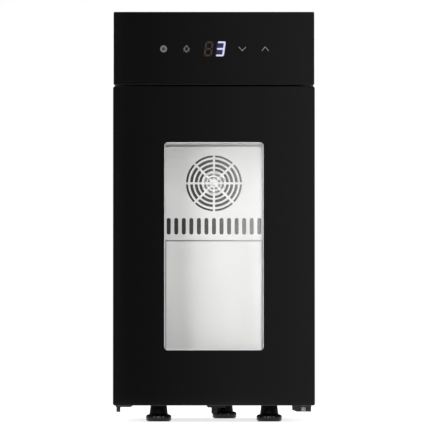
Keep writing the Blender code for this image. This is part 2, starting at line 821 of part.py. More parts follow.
def make_sink(name, width, height, base_low, base_high, fin_to):
    """A finned heat sink: an outline of base and fins, extruded upward."""
    count = int((width - FIN) / FIN_PITCH)
    step = (width - FIN) / count
    points = [(-width / 2, base_high), (-width / 2, fin_to)]
    for index in range(count):
        x = -width / 2 + index * step
        points += [(x + FIN, fin_to), (x + FIN, base_low), (x + step, base_low), (x + step, fin_to)]
    points += [(width / 2, fin_to), (width / 2, base_high)]
    outline(name, points, FAN_Z - height / 2, FAN_Z + height / 2, "Z", "aluminium")


def make_cooling_unit():
    """Cold sink, block, module, seal and hot sink, in a stack behind the fan."""
    cold_back = LINER_BACK - COLD_GAP
    cold_base = cold_back - COLD_BASE
    make_sink("cold_sink", COLD_SINK, COLD_SINK, cold_base, cold_back, cold_base - COLD_FIN)
    half = MODULE / 2
    module_front = FRONT + MODULE_IN
    sink_front = FRONT + SINK_IN
    for name, low, high, finish in (
        ("conduction_block", cold_back + FIT, module_front - FIT, "aluminium"),
        ("thermoelectric_module", module_front, module_front + MODULE_DEPTH, "ceramic"),
    ):
        block(name, (-half, low, FAN_Z - half), (half, high, FAN_Z + half), finish)
    outer = half + SEAL_WIDTH
    seal = block(
        "module_seal",
        (-outer, FOAM_BACK + FIT, FAN_Z - outer),
        (outer, sink_front - FIT, FAN_Z + outer),
        "soft_seal",
    )
    cut(seal, module_hole("seal_hole", BLOCK_GAP, FOAM_BACK - PAST, sink_front + PAST))
    hot_base = sink_front + HOT_BASE
    make_sink("hot_sink", HOT_SINK, HOT_SINK, hot_base, sink_front, hot_base + HOT_FIN)


def vent_centres():
    """Two columns of vents behind the head and two more below the exhaust fan."""
    x = VENT[0] / 2 + VENT_SPACE
    starts = (HEIGHT - VENT_BELOW_TOP, FAN_Z - EXHAUST_FAN / 2 - VENT_BELOW_FAN)
    return [
        (side, start - row * VENT_PITCH)
        for start in starts
        for side in (-x, x)
        for row in range(VENT_ROWS)
    ]


def fan_screw_places(size):
    fixing = size / 2 - FAN_FIXING
    return [(x, FAN_Z + z) for x in (-fixing, fixing) for z in (-fixing, fixing)]


def inlet_box(name, grow, low, high, finish=None):
    x, z = INLET_PLACE
    wide, tall = INLET[0] / 2 + grow, INLET[1] / 2 + grow
    return block(name, (x - wide, low, z - tall), (x + wide, high, z + tall), finish)


def make_rear_cover():
    """The rear cover with vents, an opening for the exhaust fan and one for the inlet."""
    cover = block(
        "rear_cover",
        (-BODY_HALF, COVER_FRONT, BASE_BOTTOM),
        (BODY_HALF, COVER_BACK, HEIGHT),
        "black_paint",
        corner=WRAP_CORNER,
    )
    low, high = COVER_FRONT - PAST, COVER_BACK + PAST
    middle = (low + high) / 2
    fan_radius = EXHAUST_FAN / 2 - FAN_RIM
    fan_screws = fan_screw_places(EXHAUST_FAN)
    cut(
        cover,
        slots("cover_vents", vent_centres(), VENT[0], VENT[1], low, high, VENT_SIDES),
        cylinder("cover_fan_opening", fan_radius, high - low, (0, middle, FAN_Z), sides=BORE),
        holes("cover_screw_holes", cover_screw_places() + fan_screws, SCREW_HOLE, low, high),
        inlet_box("cover_inlet_opening", FIT, low, high),
    )
    half = EXHAUST_FAN / 2
    guard_low, guard_high = COVER_BACK + FIT, COVER_BACK + FIT + GUARD
    guard = block(
        "exhaust_fan_guard",
        (-half, guard_low, FAN_Z - half),
        (half, guard_high, FAN_Z + half),
        "black_plastic",
        corner=GUARD_CORNER,
    )
    seat = guard_high - GUARD_SEAT
    low, high = guard_low - PAST, guard_high + PAST
    cut(
        guard,
        grille("guard_openings", FAN_Z, GUARD_RINGS, GUARD_SPOKE, low, high, 2),
        holes("guard_screw_holes", fan_screws, SCREW_HOLE, low, high),
        holes("guard_screw_seats", fan_screws, SCREW_HEAD + FIT, seat, high),
    )


def make_screw(name, x, seat, z, finish):
    """A pan-head screw along Y, its head on the seat and its shank running inward."""
    crown, shoulder = SCREW_CROWN
    profile = [
        (0, SCREW_HEAD_HEIGHT),
        (SCREW_HEAD * crown, SCREW_HEAD_HEIGHT),
        (SCREW_HEAD, SCREW_HEAD_HEIGHT * shoulder),
        (SCREW_HEAD, 0),
        (SCREW_SHANK, 0),
        (SCREW_SHANK, -SCREW_LENGTH),
        (0, -SCREW_LENGTH),
    ]
    screw = turned(name, profile, (x, seat, z), finish, "Z", HOLE_SIDES)
    screw.rotation_euler = (-math.pi / 2, 0, 0)


def make_screws():
    for index, (x, z) in enumerate(cover_screw_places(), 1):
        make_screw(f"rear_cover_screw_{index}", x, COVER_BACK + FIT, z, "zinc_steel")
    seat = COVER_BACK + FIT + GUARD - GUARD_SEAT + FIT
    for index, (x, z) in enumerate(fan_screw_places(EXHAUST_FAN), 1):
        make_screw(f"fan_guard_screw_{index}", x, seat, z, "zinc_steel")


def make_inlet_and_supply():
    """The mains inlet in the rear cover, and the power supply in the space behind the foam."""
    flange_front = COVER_BACK + FIT
    flange_back = flange_front + INLET_FLANGE_DEPTH
    body_back = flange_front + INLET_FLANGE_DEPTH / 2
    inlet = inlet_box("power_inlet", -FIT, COVER_FRONT - INLET_DEPTH, body_back, "black_plastic")
    join(inlet, inlet_box("inlet_flange", INLET_FLANGE, flange_front, flange_back))
    socket = inlet_box("inlet_socket", -INLET_WALL, COVER_FRONT - INLET_SOCKET, flange_back + PAST)
    cut(inlet, socket)
    low = FOAM_BACK + SUPPLY_GAP
    block(
        "power_supply",
        (-SUPPLY_LEFT, low, SUPPLY_BOTTOM),
        (SUPPLY[0] - SUPPLY_LEFT, low + SUPPLY[1], SUPPLY_BOTTOM + SUPPLY[2]),
        "aluminium",
        corner=SUPPLY_CORNER,
        along="Z",
    )


def make_lamp():
    """The chamber lamp: a lens through the ceiling with its board above."""
    lamp_top = CEILING + LAMP_RISE
    lamp_box("lamp_lens", 0, CEILING - LAMP_DROP, lamp_top, "lamp_white")
    board_low = lamp_top + FIT
    lamp_box("lamp_board", LAMP_BOARD_EDGE, board_low, board_low + LAMP_BOARD, "circuit_board")


def make_head():
    """The control head: housing, glass, touch board, digit display and control board."""
    half = HEAD_HALF
    glass_back = FRONT + GLASS
    block(
        "control_glass",
        (-half, FRONT, HEAD_BOTTOM),
        (half, glass_back, HEIGHT),
        "black_glass",
        corner=HEAD_CORNER,
    )
    outer = BODY_HALF
    housing = block(
        "head_housing",
        (-outer, glass_back + FIT, HEAD_BOTTOM + FIT),
        (outer, BODY_FRONT - FIT, HEIGHT - FIT),
        "black_plastic",
        corner=HEAD_CORNER,
    )
    inner = outer - HEAD_WALL
    hollow = block(
        "housing_hollow",
        (-inner, glass_back + HEAD_WALL, HEAD_BOTTOM + HEAD_WALL),
        (inner, BODY_FRONT + PAST, HEIGHT - HEAD_WALL),
    )
    wide, tall, thick = TOUCH_BOARD
    board_low = (-wide / 2, glass_back + FIT, CONTROL_Z - tall / 2)
    board_high = (wide / 2, glass_back + FIT + thick, CONTROL_Z + tall / 2)
    window = block(
        "housing_window",
        (board_low[0] - FIT, FRONT, board_low[2] - FIT),
        (board_high[0] + FIT, glass_back + 2 * HEAD_WALL, board_high[2] + FIT),
    )
    pin_place = (HINGE_X, HINGE_Y, HEAD_BOTTOM + HEAD_WALL / 2)
    pin_hole = cylinder("housing_pin_hole", PIN + FIT, 4 * HEAD_WALL, pin_place, "Z")
    cut(housing, hollow, window, pin_hole)
    board = block("touch_board", board_low, board_high, "circuit_board")
    across, up, deep = DISPLAY
    display_low = Vector((DISPLAY_X - across / 2, glass_back + FIT, CONTROL_Z - up / 2))
    display_high = Vector((DISPLAY_X + across / 2, glass_back + FIT + deep, CONTROL_Z + up / 2))
    gap = Vector((FIT, PAST, FIT))
    cut(board, block("display_hole", display_low - gap, display_high + gap))
    block("digit_display", display_low, display_high, "black_plastic")
    make_control_board()


def make_control_board():
    """The board in the head space, with its tall components."""
    long, broad, thin = CONTROL_BOARD
    bottom = FOAM_TOP + CONTROL_BOARD_LIFT
    front = BODY_FRONT + CONTROL_BOARD_SETBACK
    low, high = (-long / 2, front, bottom), (long / 2, front + broad, bottom + thin)
    plate = block("control_board", low, high, "circuit_board")
    for name, x, y, size, rise in COMPONENTS:
        low = (x - size / 2, front + y - size / 2, bottom + thin / 2)
        high = (x + size / 2, front + y + size / 2, bottom + thin + rise)
        join(plate, block(name, low, high))


def frame_ring(name, grow, low, high, finish=None):
    """The hollow of the door frame: a ring round the glazing, clear of the two hinge corners."""
    inset = DOOR_EDGE + DOOR_WALL - grow
    half = DOOR_WIDTH / 2 - inset
    ring = block(
        name, (-half, low, DOOR_BOTTOM + inset), (half, high, DOOR_TOP - inset), finish
    )
    middle = window_block(f"{name}_middle", SPACER_OUT + DOOR_POCKET - grow, low - PAST, high + PAST)
    cut(ring, middle)
    for end, z in (("lower", DOOR_BOTTOM), ("upper", DOOR_TOP)):
        reach = BUSH_BLOCK_HEIGHT - grow
        corner = block(
            f"{name}_{end}_corner",
            (HINGE_X - BUSH_BLOCK + grow, low - PAST, z - reach),
            (DOOR_WIDTH, high + PAST, z + reach),
        )
        cut(ring, corner)
    return ring


def window_block(name, half, low, high, finish=None, corner=0.0, segments=4):
    """A block centred on the window, its edges a fixed distance from the window's on all sides."""
    grow = half - WINDOW_HALF
    return block(
        name,
        (-half, low, WINDOW_BOTTOM - grow),
        (half, high, WINDOW_TOP + grow),
        finish,
        corner=corner,
        segments=segments,
    )


def make_door():
    """The door: outer glass, spacer, inner glass, frame, insulation, gasket and hinge bushes."""
    half = DOOR_WIDTH / 2
    glass_back = FRONT + GLASS
    block(
        "door_outer_glass",
        (-half, FRONT, DOOR_BOTTOM),
        (half, glass_back, DOOR_TOP),
        "black_glass",
        corner=GLASS_CORNER,
    )
    front = glass_back + FIT
    spacer_back = front + SPACER_DEPTH
    inner_glass = spacer_back + FIT
    inner_back = inner_glass + GLASS
    door_back = FRONT + DOOR_DEPTH
    before = front - PAST
    spacer = window_block(
        "glass_spacer", SPACER_OUT, front, spacer_back, "aluminium", corner=PANE_CORNER
    )
    opening = window_block(
        "spacer_opening", SPACER_IN, before, spacer_back + PAST, corner=SPACER_CORNER
    )
    cut(spacer, opening)
    window_block(
        "door_inner_glass", SPACER_OUT, inner_glass, inner_back, "clear_glass", corner=PANE_CORNER
    )
    frame = block(
        "door_frame",
        (-half + DOOR_EDGE, front, DOOR_BOTTOM + DOOR_EDGE),
        (half - DOOR_EDGE, door_back, DOOR_TOP - DOOR_EDGE),
        "black_plastic",
        corner=GLASS_CORNER,
    )
    seat = SPACER_OUT + FIT
    throat = WINDOW_HALF + THROAT_SETBACK
    pocket_back = door_back - DOOR_WALL
    cut(
        frame,
        frame_ring("frame_pocket", 0, before, pocket_back),
        window_block("frame_glass_seat", seat, before, inner_back + FIT, corner=PANE_CORNER),
        window_block("frame_throat", throat, before, door_back + PAST, corner=PANE_CORNER),
    )
    frame_ring("door_insulation", -FIT, front, pocket_back - FIT, "foam")
    make_bushes(frame)
    make_gasket(door_back)


def make_bushes(frame):
    """The two plastic bushes that turn on the hinge pins, each in a well in the door's frame."""
    ends = (("lower", DOOR_BOTTOM + DOOR_EDGE, 1), ("upper", DOOR_TOP - DOOR_EDGE, -1))
    for end, z, side in ends:
        middle = (HINGE_X, HINGE_Y, z + side * BUSH_HEIGHT / 2)
        bush = cylinder(
            f"{end}_hinge_bush", BUSH, BUSH_HEIGHT, middle, "Z", "lamp_white", BORE
        )
        length = BUSH_HEIGHT + 2 * PAST
        cut(bush, cylinder(f"{end}_bush_bore", PIN + RUN, length, middle, "Z", sides=BORE))
        well_low = z - side * PAST
        well_high = z + side * (BUSH_HEIGHT + BUSH_ROOM)
        well = cylinder(
            f"{end}_bush_well",
            BUSH + FIT,
            abs(well_high - well_low),
            (HINGE_X, HINGE_Y, (well_low + well_high) / 2),
            "Z",
            sides=BORE,
        )
        cut(frame, well)


def make_gasket(door_back):
    """The soft seal on the back of the door, which closes on the front frame."""
    half = CHAMBER_HALF + GASKET_OVER_CHAMBER
    inner = half - GASKET_WIDTH
    gasket = window_block(
        "door_gasket", half, door_back + FIT, BODY_FRONT - FIT, "soft_seal", corner=GASKET_CORNER
    )
    inside = window_block(
        "gasket_inside", inner, door_back - PAST, BODY_FRONT + PAST, corner=GASKET_CORNER / 2
    )
    cut(gasket, inside)


def hang_door():
    """Parents the door's pieces to an empty on the hinge axis, where they are."""
    hinge = bpy.data.objects.new("door_hinge_axis", None)
    hinge.location = (HINGE_X, HINGE_Y, DOOR_BOTTOM)
    bpy.data.collections["cooling_cabinet"].objects.link(hinge)
    for name in DOOR_PIECES:
        item = bpy.data.objects[name]
        item.parent = hinge
        item.matrix_parent_inverse = Matrix.Translation(-hinge.location)


def make_hinges():
    """The lower bracket with its stiffening web, the upper bracket in the head, and both pins."""
    left, right = HINGE_X - BRACKET_LEFT, HINGE_X + BRACKET_RIGHT
    top = BASE_BOTTOM - FIT
    front = FRONT + BRACKET_FRONT
    bend = BODY_FRONT - BRACKET_BEND
    rear = BODY_FRONT + BRACKET_REACH
    rise = top - BRACKET_TOP
    points = [
        (front, BRACKET_TOP - BRACKET),
        (bend, BRACKET_TOP - BRACKET),
        (bend + rise, top - BRACKET),
        (rear, top - BRACKET),
        (rear, top),
        (bend + rise - BRACKET / 2, top),
        (bend - BRACKET / 2, BRACKET_TOP),
        (front, BRACKET_TOP),
    ]
    bracket = outline("lower_hinge_bracket", points, left, right, "X", "bracket_grey")
    web_top = BRACKET_TOP - BRACKET / 2
    web_front = HINGE_Y + PIN + WEB_BEHIND_PIN
    web_points = [
        (left, web_top),
        (left, BRACKET_FOOT + BRACKET_SLOPE),
        (HINGE_X - BRACKET_SLOPE_END, BRACKET_FOOT),
        (right, BRACKET_FOOT),
        (right, web_top),
    ]
    join(bracket, outline("hinge_web", web_points, web_front, web_front + BRACKET_WEB, "Y"))
    pin_hole = (HINGE_X, HINGE_Y, BRACKET_TOP)
    cut(bracket, cylinder("bracket_pin_hole", PIN + FIT, 4 * BRACKET, pin_hole, "Z"))
    reach = DOOR_EDGE + BUSH_HEIGHT - BUSH_ROOM
    make_pin("lower_hinge_pin", BRACKET_TOP - BRACKET - PIN_DROP, DOOR_BOTTOM + reach)
    plate = HEAD_BOTTOM + HEAD_WALL + FIT
    leg_back = BODY_FRONT - 2 * FIT
    upper_points = [
        (front, plate),
        (leg_back, plate),
        (leg_back, plate + UPPER_LEG),
        (leg_back - BRACKET, plate + UPPER_LEG),
        (leg_back - BRACKET, plate + BRACKET),
        (front, plate + BRACKET),
    ]
    upper_right = min(right, BODY_HALF - HEAD_WALL - FIT)
    upper = outline("upper_hinge_bracket", upper_points, left, upper_right, "X", "bracket_grey")
    pin_hole = (HINGE_X, HINGE_Y, plate)
    cut(upper, cylinder("upper_pin_hole", PIN + FIT, 4 * BRACKET, pin_hole, "Z"))
    make_pin("upper_hinge_pin", DOOR_TOP - reach, plate + UPPER_PIN_REACH)


def make_pin(name, low, high):
    """A plain steel pin on the hinge axis."""
    middle = (HINGE_X, HINGE_Y, (low + high) / 2)
    cylinder(name, PIN, high - low, middle, "Z", "zinc_steel", BORE)


def make_left_bracket():
    """The plain bracket under the door's free side: a notched web on a shelf under the base."""
    top = BASE_BOTTOM - FIT
    web_top = top - BRACKET / 2
    edge = -DOOR_WIDTH / 2
    front = BODY_FRONT + LEFT_BRACKET_SETBACK
    foot, tab_foot = BASE_BOTTOM - LEFT_BRACKET_DROP, BASE_BOTTOM - LEFT_TAB_DROP
    tab_start, tab_end = LEFT_TAB
    points = [
        (edge + LEFT_START, web_top),
        (edge + LEFT_START, foot + LEFT_CHAMFER),
        (edge + tab_start, foot),
        (edge + tab_start, tab_foot),
        (edge + tab_end, tab_foot),
        (edge + tab_end, foot),
        (edge + LEFT_FOOT_END, foot),
        (edge + LEFT_END, web_top),
    ]
    web = outline("left_door_bracket", points, front, front + BRACKET_WEB, "Y", "bracket_grey")
    shelf_low = (edge + LEFT_SHELF[0], front + BRACKET_WEB / 2, top - BRACKET)
    shelf_high = (edge + LEFT_SHELF[1], front + SHELF, top)
    boolean(web, block("left_bracket_shelf", shelf_low, shelf_high), "UNION", "MANIFOLD")


def make_rear_bracket():
    """The plain bracket in front of the rear foot."""
    top = BASE_BOTTOM - FIT
    web_top = top - BRACKET / 2
    x = REAR_FOOT[0]
    back = FRONT + REAR_FOOT[1] - FOOT_FLANGE - REAR_BRACKET_AHEAD
    foot, tab_foot = BASE_BOTTOM - REAR_BRACKET_DROP, BASE_BOTTOM - REAR_TAB_DROP
    tab_start, tab_end = REAR_TAB
    points = [
        (x - REAR_START, web_top),
        (x - REAR_FOOT_START, foot),
        (x - tab_start, foot),
        (x - tab_start, tab_foot),
        (x - tab_end, tab_foot),
        (x - tab_end, foot),
        (x + REAR_END, foot),
        (x + REAR_END, web_top),
    ]
    web = outline("rear_foot_bracket", points, back - BRACKET_WEB, back, "Y", "bracket_grey")
    shelf_low = (x - REAR_SHELF[0], back - SHELF, top - BRACKET)
    shelf_high = (x + REAR_SHELF[1], back - BRACKET_WEB / 2, top)
    boolean(web, block("rear_bracket_shelf", shelf_low, shelf_high), "UNION", "MANIFOLD")


def stud_span():
    """The bottom and top of a stud, seated in the foot's socket."""
    bottom = BASE_BOTTOM - FIT - STUD_SEAT + FIT
    return bottom, bottom + STUD_LENGTH


def make_feet():
    """Three levelling feet, each a moulded cone and flange on a threaded stud held by a nut."""
    top = BASE_BOTTOM - FIT
    low, high = stud_span()
    profile = [
        (0, low - FIT),
        (STUD + FIT, low - FIT),
        (STUD + FIT, top),
        (FOOT_TOP, top),
        (FOOT_BOTTOM, FOOT_FLANGE_HEIGHT),
        (FOOT_FLANGE - FOOT_EDGE / 2, FOOT_FLANGE_HEIGHT),
        (FOOT_FLANGE, FOOT_FLANGE_HEIGHT - FOOT_EDGE / 2),
        (FOOT_FLANGE, FOOT_EDGE),
        (FOOT_FLANGE - FOOT_EDGE, 0),
        (0, 0),
    ]
    across_corners = NUT_FLATS / math.cos(math.pi / 6)
    for name, (x, y) in foot_places().items():
        turned(f"{name}_foot", profile, (x, y, 0), "foot_plastic")
        middle = (x, y, (low + high) / 2)
        cylinder(f"{name}_foot_stud", STUD, high - low, middle, "Z", "zinc_steel")
        seat = BASE_BOTTOM + BASE + FIT
        middle = (x, y, seat + NUT / 2)
        nut = cylinder(f"{name}_foot_nut", across_corners / 2, NUT, middle, "Z", "zinc_steel", 6)
        cut(nut, cylinder(f"{name}_nut_hole", STUD + FIT, NUT + 2 * PAST, middle, "Z"))


def main():
    start_scene()
    make_wrap()
    make_base()
    make_front_frame()
    make_liner()
    make_foam()
    make_fan_cover()
    make_duct_panel()
    make_fan("circulation_fan", FAN, FAN_DEPTH, FAN_HUB, PLATE + COVER + FIT, 1)
    make_cooling_unit()
    make_fan("exhaust_fan", EXHAUST_FAN, EXHAUST_DEPTH, EXHAUST_HUB, FRONT + EXHAUST_IN, -1)
    make_rear_cover()
    make_screws()
    make_inlet_and_supply()
    make_lamp()
    make_head()
    make_door()
    hang_door()
    make_hinges()
    make_left_bracket()
    make_rear_bracket()
    make_feet()


main()
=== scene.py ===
"""A slim cooling cabinet with a glass door, standing on a pale studio floor.

Metres throughout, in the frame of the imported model: the front faces -Y and +Z is up.
"""

import json
import math

import bmesh
import bpy
from mathutils import Matrix, Vector


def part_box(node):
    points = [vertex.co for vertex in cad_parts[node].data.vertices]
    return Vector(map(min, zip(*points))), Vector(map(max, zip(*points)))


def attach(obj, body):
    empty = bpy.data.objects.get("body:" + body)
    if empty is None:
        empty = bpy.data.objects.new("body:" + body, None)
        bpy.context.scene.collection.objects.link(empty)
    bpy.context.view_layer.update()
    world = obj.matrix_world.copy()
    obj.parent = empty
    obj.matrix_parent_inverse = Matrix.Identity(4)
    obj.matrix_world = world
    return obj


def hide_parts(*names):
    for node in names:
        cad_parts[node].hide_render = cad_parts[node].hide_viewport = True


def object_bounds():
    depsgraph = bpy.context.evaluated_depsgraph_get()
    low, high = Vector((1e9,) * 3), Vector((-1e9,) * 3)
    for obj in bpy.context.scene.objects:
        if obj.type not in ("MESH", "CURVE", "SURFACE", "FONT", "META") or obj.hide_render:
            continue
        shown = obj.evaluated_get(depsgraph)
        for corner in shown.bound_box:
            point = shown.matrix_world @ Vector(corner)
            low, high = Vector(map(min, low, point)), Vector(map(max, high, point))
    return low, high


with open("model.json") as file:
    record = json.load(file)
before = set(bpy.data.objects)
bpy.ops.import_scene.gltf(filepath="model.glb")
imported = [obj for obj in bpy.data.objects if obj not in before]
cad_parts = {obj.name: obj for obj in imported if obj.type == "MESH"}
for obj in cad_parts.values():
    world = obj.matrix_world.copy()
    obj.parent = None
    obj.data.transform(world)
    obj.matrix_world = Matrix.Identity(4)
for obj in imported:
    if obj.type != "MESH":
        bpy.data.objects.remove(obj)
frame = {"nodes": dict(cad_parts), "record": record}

MM = 0.001
CAD_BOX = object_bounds()
RECORD = frame["record"]
BODY = {node: body for body, nodes in RECORD["behaviour"]["bodies"].items() for node in nodes}
SLOT = {row["node"]: row["material_slot"] for row in RECORD["subparts"]}



def link(item):
    """Puts an object into the scene."""
    bpy.context.scene.collection.objects.link(item)


def mesh_of(name, shape):
    """The shape as a mesh. The shape is used up."""
    mesh = bpy.data.meshes.new(name)
    shape.to_mesh(mesh)
    shape.free()
    return mesh


def box_and_middle(node):
    """A node's lowest and highest corners, and the point halfway between them."""
    low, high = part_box(node)
    return low, high, (low + high) / 2


# Places read from the frame
LOW, HIGH = CAD_BOX
FRONT = LOW.y
DOOR_LOW, DOOR_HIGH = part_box("door_outer_glass")
HEAD_LOW, HEAD_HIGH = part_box("control_glass")
SPACER_LOW, SPACER_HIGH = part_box("glass_spacer")
COVER_LOW, COVER_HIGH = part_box("fan_cover")
PANEL_LOW, PANEL_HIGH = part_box("duct_panel")
LINER_LOW, LINER_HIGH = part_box("chamber_liner")
FAN_LOW, FAN_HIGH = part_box("circulation_fan_frame")
FAN_Z = (FAN_LOW.z + FAN_HIGH.z) / 2

# The window in the door glass
SPACER_SHOWS = 1.4 * MM
SPACER_WIDTH = 7 * MM
WINDOW_HALF = SPACER_HIGH.x - SPACER_WIDTH + SPACER_SHOWS
WINDOW_LOW = SPACER_LOW.z + SPACER_WIDTH - SPACER_SHOWS
WINDOW_HIGH = SPACER_HIGH.z - SPACER_WIDTH + SPACER_SHOWS
WINDOW_CORNER = 4 * MM


# ---- materials


class Value:
    """A number that a node gives. Arithmetic on it adds Math nodes."""

    def __init__(self, paint, socket):
        self.paint = paint
        self.socket = socket

    def math(self, operation, *others, clamp=False):
        settings = {"operation": operation, "use_clamp": clamp}
        return self.paint.node("Math", settings, dict(enumerate((self, *others))))

    def __add__(self, other):
        return self.math("ADD", other)

    def __sub__(self, other):
        return self.math("SUBTRACT", other)

    def __rsub__(self, other):
        return self.paint.node("Math", {"operation": "SUBTRACT"}, {0: other, 1: self})

    def __mul__(self, other):
        return self.math("MULTIPLY", other)

    def __truediv__(self, other):
        return self.math("DIVIDE", other)

    def __abs__(self):
        return self.math("ABSOLUTE")

    __radd__ = __add__
    __rmul__ = __mul__

    def above(self, level, soft):
        """0 below the level, rising to 1 over the soft width."""
        return ((self - level) / soft).math("ADD", 0.5, clamp=True)

    def clamped(self):
        return self.math("ADD", 0.0, clamp=True)


class Paint:
    """A material made of one Principled shader and the nodes that feed it."""

    def __init__(self, name, colour, roughness, metallic=0.0, **sockets):
        self.material = bpy.data.materials.new(name)
        self.material.use_nodes = True
        self.tree = self.material.node_tree
        self.shader = self.tree.nodes["Principled BSDF"]
        self.output = self.tree.nodes["Material Output"]
        self.set("Base Color", (*colour, 1.0))
        self.set("Roughness", roughness)
        self.set("Metallic", metallic)
        for socket, value in sockets.items():
            self.set(socket.replace("_", " "), value)

    def node(self, kind, settings=None, inputs=None, output=0):
        """Adds a node: its settings first, then the value or link of each socket."""
        made = self.tree.nodes.new("ShaderNode" + kind)
        for name, value in (settings or {}).items():
            setattr(made, name, value)
        for socket, value in (inputs or {}).items():
            self.feed(made.inputs[socket], value)
        return Value(self, made.outputs[output])

    def feed(self, socket, value):
        if isinstance(value, Value):
            self.tree.links.new(value.socket, socket)
        else:
            socket.default_value = value

    def set(self, socket, value):
        self.feed(self.shader.inputs[socket], value)

    def place(self, stretch=(1, 1, 1)):
        """Coordinates on the object, in metres, stretched along each axis."""
        spot = self.node("TexCoord", output="Object")
        return self.node("Mapping", {}, {"Vector": spot, "Scale": stretch})

    def axis(self, name):
        return self.node("SeparateXYZ", {}, {0: self.place()}, name)

    def noise(self, scale, detail=3.0, stretch=(1, 1, 1)):
        inputs = {"Vector": self.place(stretch), "Scale": scale, "Detail": detail}
        return self.node("TexNoise", {}, inputs)

    def cells(self, scale):
        return self.node("TexVoronoi", {}, {"Vector": self.place(), "Scale": scale})

    def mix(self, first, second, factor):
        """A colour between two colours."""
        inputs = {"Factor": factor, 6: first, 7: second}
        return self.node("Mix", {"data_type": "RGBA"}, inputs, 2)

    def vary(self, socket, low, high, factor):
        self.set(socket, factor * (high - low) + low)

    def tint(self, dark, light, factor):
        self.set("Base Color", self.mix((*dark, 1.0), (*light, 1.0), factor))

    def bump(self, height, depth):
        """Raises the surface by the height, which runs from 0 to 1, times the depth in metres."""
        inputs = {"Height": height, "Distance": depth, "Strength": 1.0}
        self.set("Normal", self.node("Bump", {}, inputs))

    def over_clear(self, factor):
        """Lets the shader cover what is behind it by the factor."""
        clear = self.node("BsdfTransparent")
        inputs = {0: factor, 1: clear, 2: Value(self, self.shader.outputs[0])}
        self.feed(self.output.inputs["Surface"], self.node("MixShader", {}, inputs))


def powder_black():
    """Black powder coat: fine orange peel and faint handling marks."""
    paint = Paint("powder_black", (0.009, 0.009, 0.010), 0.44, Specular_IOR_Level=0.3)
    marks = paint.noise(60, 5)
    paint.tint((0.007, 0.007, 0.008), (0.012, 0.012, 0.013), marks)
    paint.vary("Roughness", 0.41, 0.48, marks)
    peel = paint.noise(1100, 2)
    paint.bump(peel, 0.00006)
    return paint


def black_print():
    """Glossy black print under the glass of the door and the head."""
    paint = Paint("black_print", (0.0014, 0.0014, 0.0016), 0.03)
    wipe = paint.noise(9, 3, (1, 1, 0.3))
    paint.vary("Roughness", 0.02, 0.06, wipe)
    return paint


def clear_pane():
    """Clear float glass: a mirror by as much as Fresnel gives, and clear for the rest."""
    paint = Paint("clear_pane", (1.0, 1.0, 1.0), 0.02, 1.0)
    paint.vary("Roughness", 0.01, 0.05, paint.noise(14, 3))
    slant = paint.node("LayerWeight", {}, {"Blend": 0.5}, "Facing")
    paint.over_clear(slant.math("POWER", 5.0) * 0.96 + 0.04)
    return paint


def pane_with_painted_sheen():
    """The inner pane: a faint random haze, and a diffuse white layer that thickens towards the
    hinge side. The layer is a painted sheen, lit by its own softbox so the window grows brighter to
    the right.
    """
    paint = Paint("pane_with_painted_sheen", (0.9, 0.9, 0.9), 0.6)
    # Painted sheen: the white layer's share rises from left to right across the window.
    side = ((paint.axis("X") - SHEEN_START) / SHEEN_RUN).clamped()
    paint.over_clear(paint.noise(30, 3) * 0.003 + side.math("POWER", 1.7) * SHEEN_MOST)
    return paint


def brushed_stainless():
    """Brushed stainless sheet, its grain running from side to side."""
    paint = Paint("brushed_stainless", (0.62, 0.62, 0.61), 0.34, 1.0)
    grain = paint.noise(2600, 2, (0.02, 1, 1))
    clouds = paint.noise(16, 3)
    paint.tint((0.60, 0.60, 0.59), (0.72, 0.72, 0.71), clouds * 0.6 + grain * 0.4)
    paint.vary("Roughness", 0.27, 0.40, grain * 0.6 + clouds * 0.4)
    paint.bump(grain, 0.00002)
    return paint


def black_plastic():
    """Moulded black plastic with a fine spark-eroded texture."""
    paint = Paint("black_plastic", (0.018, 0.018, 0.018), 0.5)
    texture = paint.noise(1800, 3)
    paint.tint((0.012, 0.012, 0.012), (0.028, 0.028, 0.028), paint.noise(40, 3))
    paint.vary("Roughness", 0.42, 0.6, texture)
    paint.bump(texture, 0.00005)
    return paint


def fan_plastic():
    """Matt black plastic of the fan wheels and their frames."""
    paint = Paint("fan_plastic", (0.012, 0.012, 0.012), 0.65, Specular_IOR_Level=0.15)
    grain = paint.noise(1800, 2)
    paint.vary("Roughness", 0.58, 0.72, grain)
    paint.bump(grain, 0.00003)
    return paint


def glossy_plastic():
    """Glossy black plastic of the feet, with fine scuffs."""
    paint = Paint("glossy_plastic", (0.004, 0.004, 0.004), 0.2, Specular_IOR_Level=0.3)
    scuffs = paint.noise(220, 3, (1, 1, 3))
    paint.vary("Roughness", 0.08, 0.2, scuffs)
    paint.bump(scuffs, 0.00001)
    return paint


def seal_rubber():
    paint = Paint("seal_rubber", (0.02, 0.02, 0.02), 0.75)
    dust = paint.noise(60, 4)
    paint.tint((0.014, 0.014, 0.014), (0.04, 0.04, 0.04), dust)
    paint.vary("Roughness", 0.6, 0.85, dust)
    paint.bump(paint.noise(900, 2), 0.00004)
    return paint


def bare_aluminium():
    paint = Paint("bare_aluminium", (0.70, 0.71, 0.72), 0.35, 1.0)
    grain = paint.noise(1500, 2, (1, 1, 0.03))
    paint.tint((0.62, 0.63, 0.64), (0.80, 0.81, 0.82), grain)
    paint.vary("Roughness", 0.28, 0.45, grain)
    return paint


def cold_sink_painted_shade():
    """The aluminium cold sink behind the fan, made near black: painted shade that keeps the fan
    cover's slots dark.
    """
    paint = Paint("cold_sink_painted_shade", (0.012, 0.012, 0.013), 0.6, Specular_IOR_Level=0.15)
    grain = paint.noise(900, 2)
    paint.vary("Roughness", 0.52, 0.68, grain)
    return paint


def bracket_steel():
    """Dark steel of the brackets, a little worn. The upper hinge pin takes it too, as painted shade
    in the gap between head and door.
    """
    paint = Paint("bracket_steel", (0.02, 0.02, 0.021), 0.4, Specular_IOR_Level=0.2)
    wear = paint.noise(160, 4)
    paint.tint((0.012, 0.012, 0.013), (0.034, 0.034, 0.035), wear)
    paint.vary("Roughness", 0.32, 0.55, wear)
    paint.bump(paint.noise(1200, 2), 0.00003)
    return paint


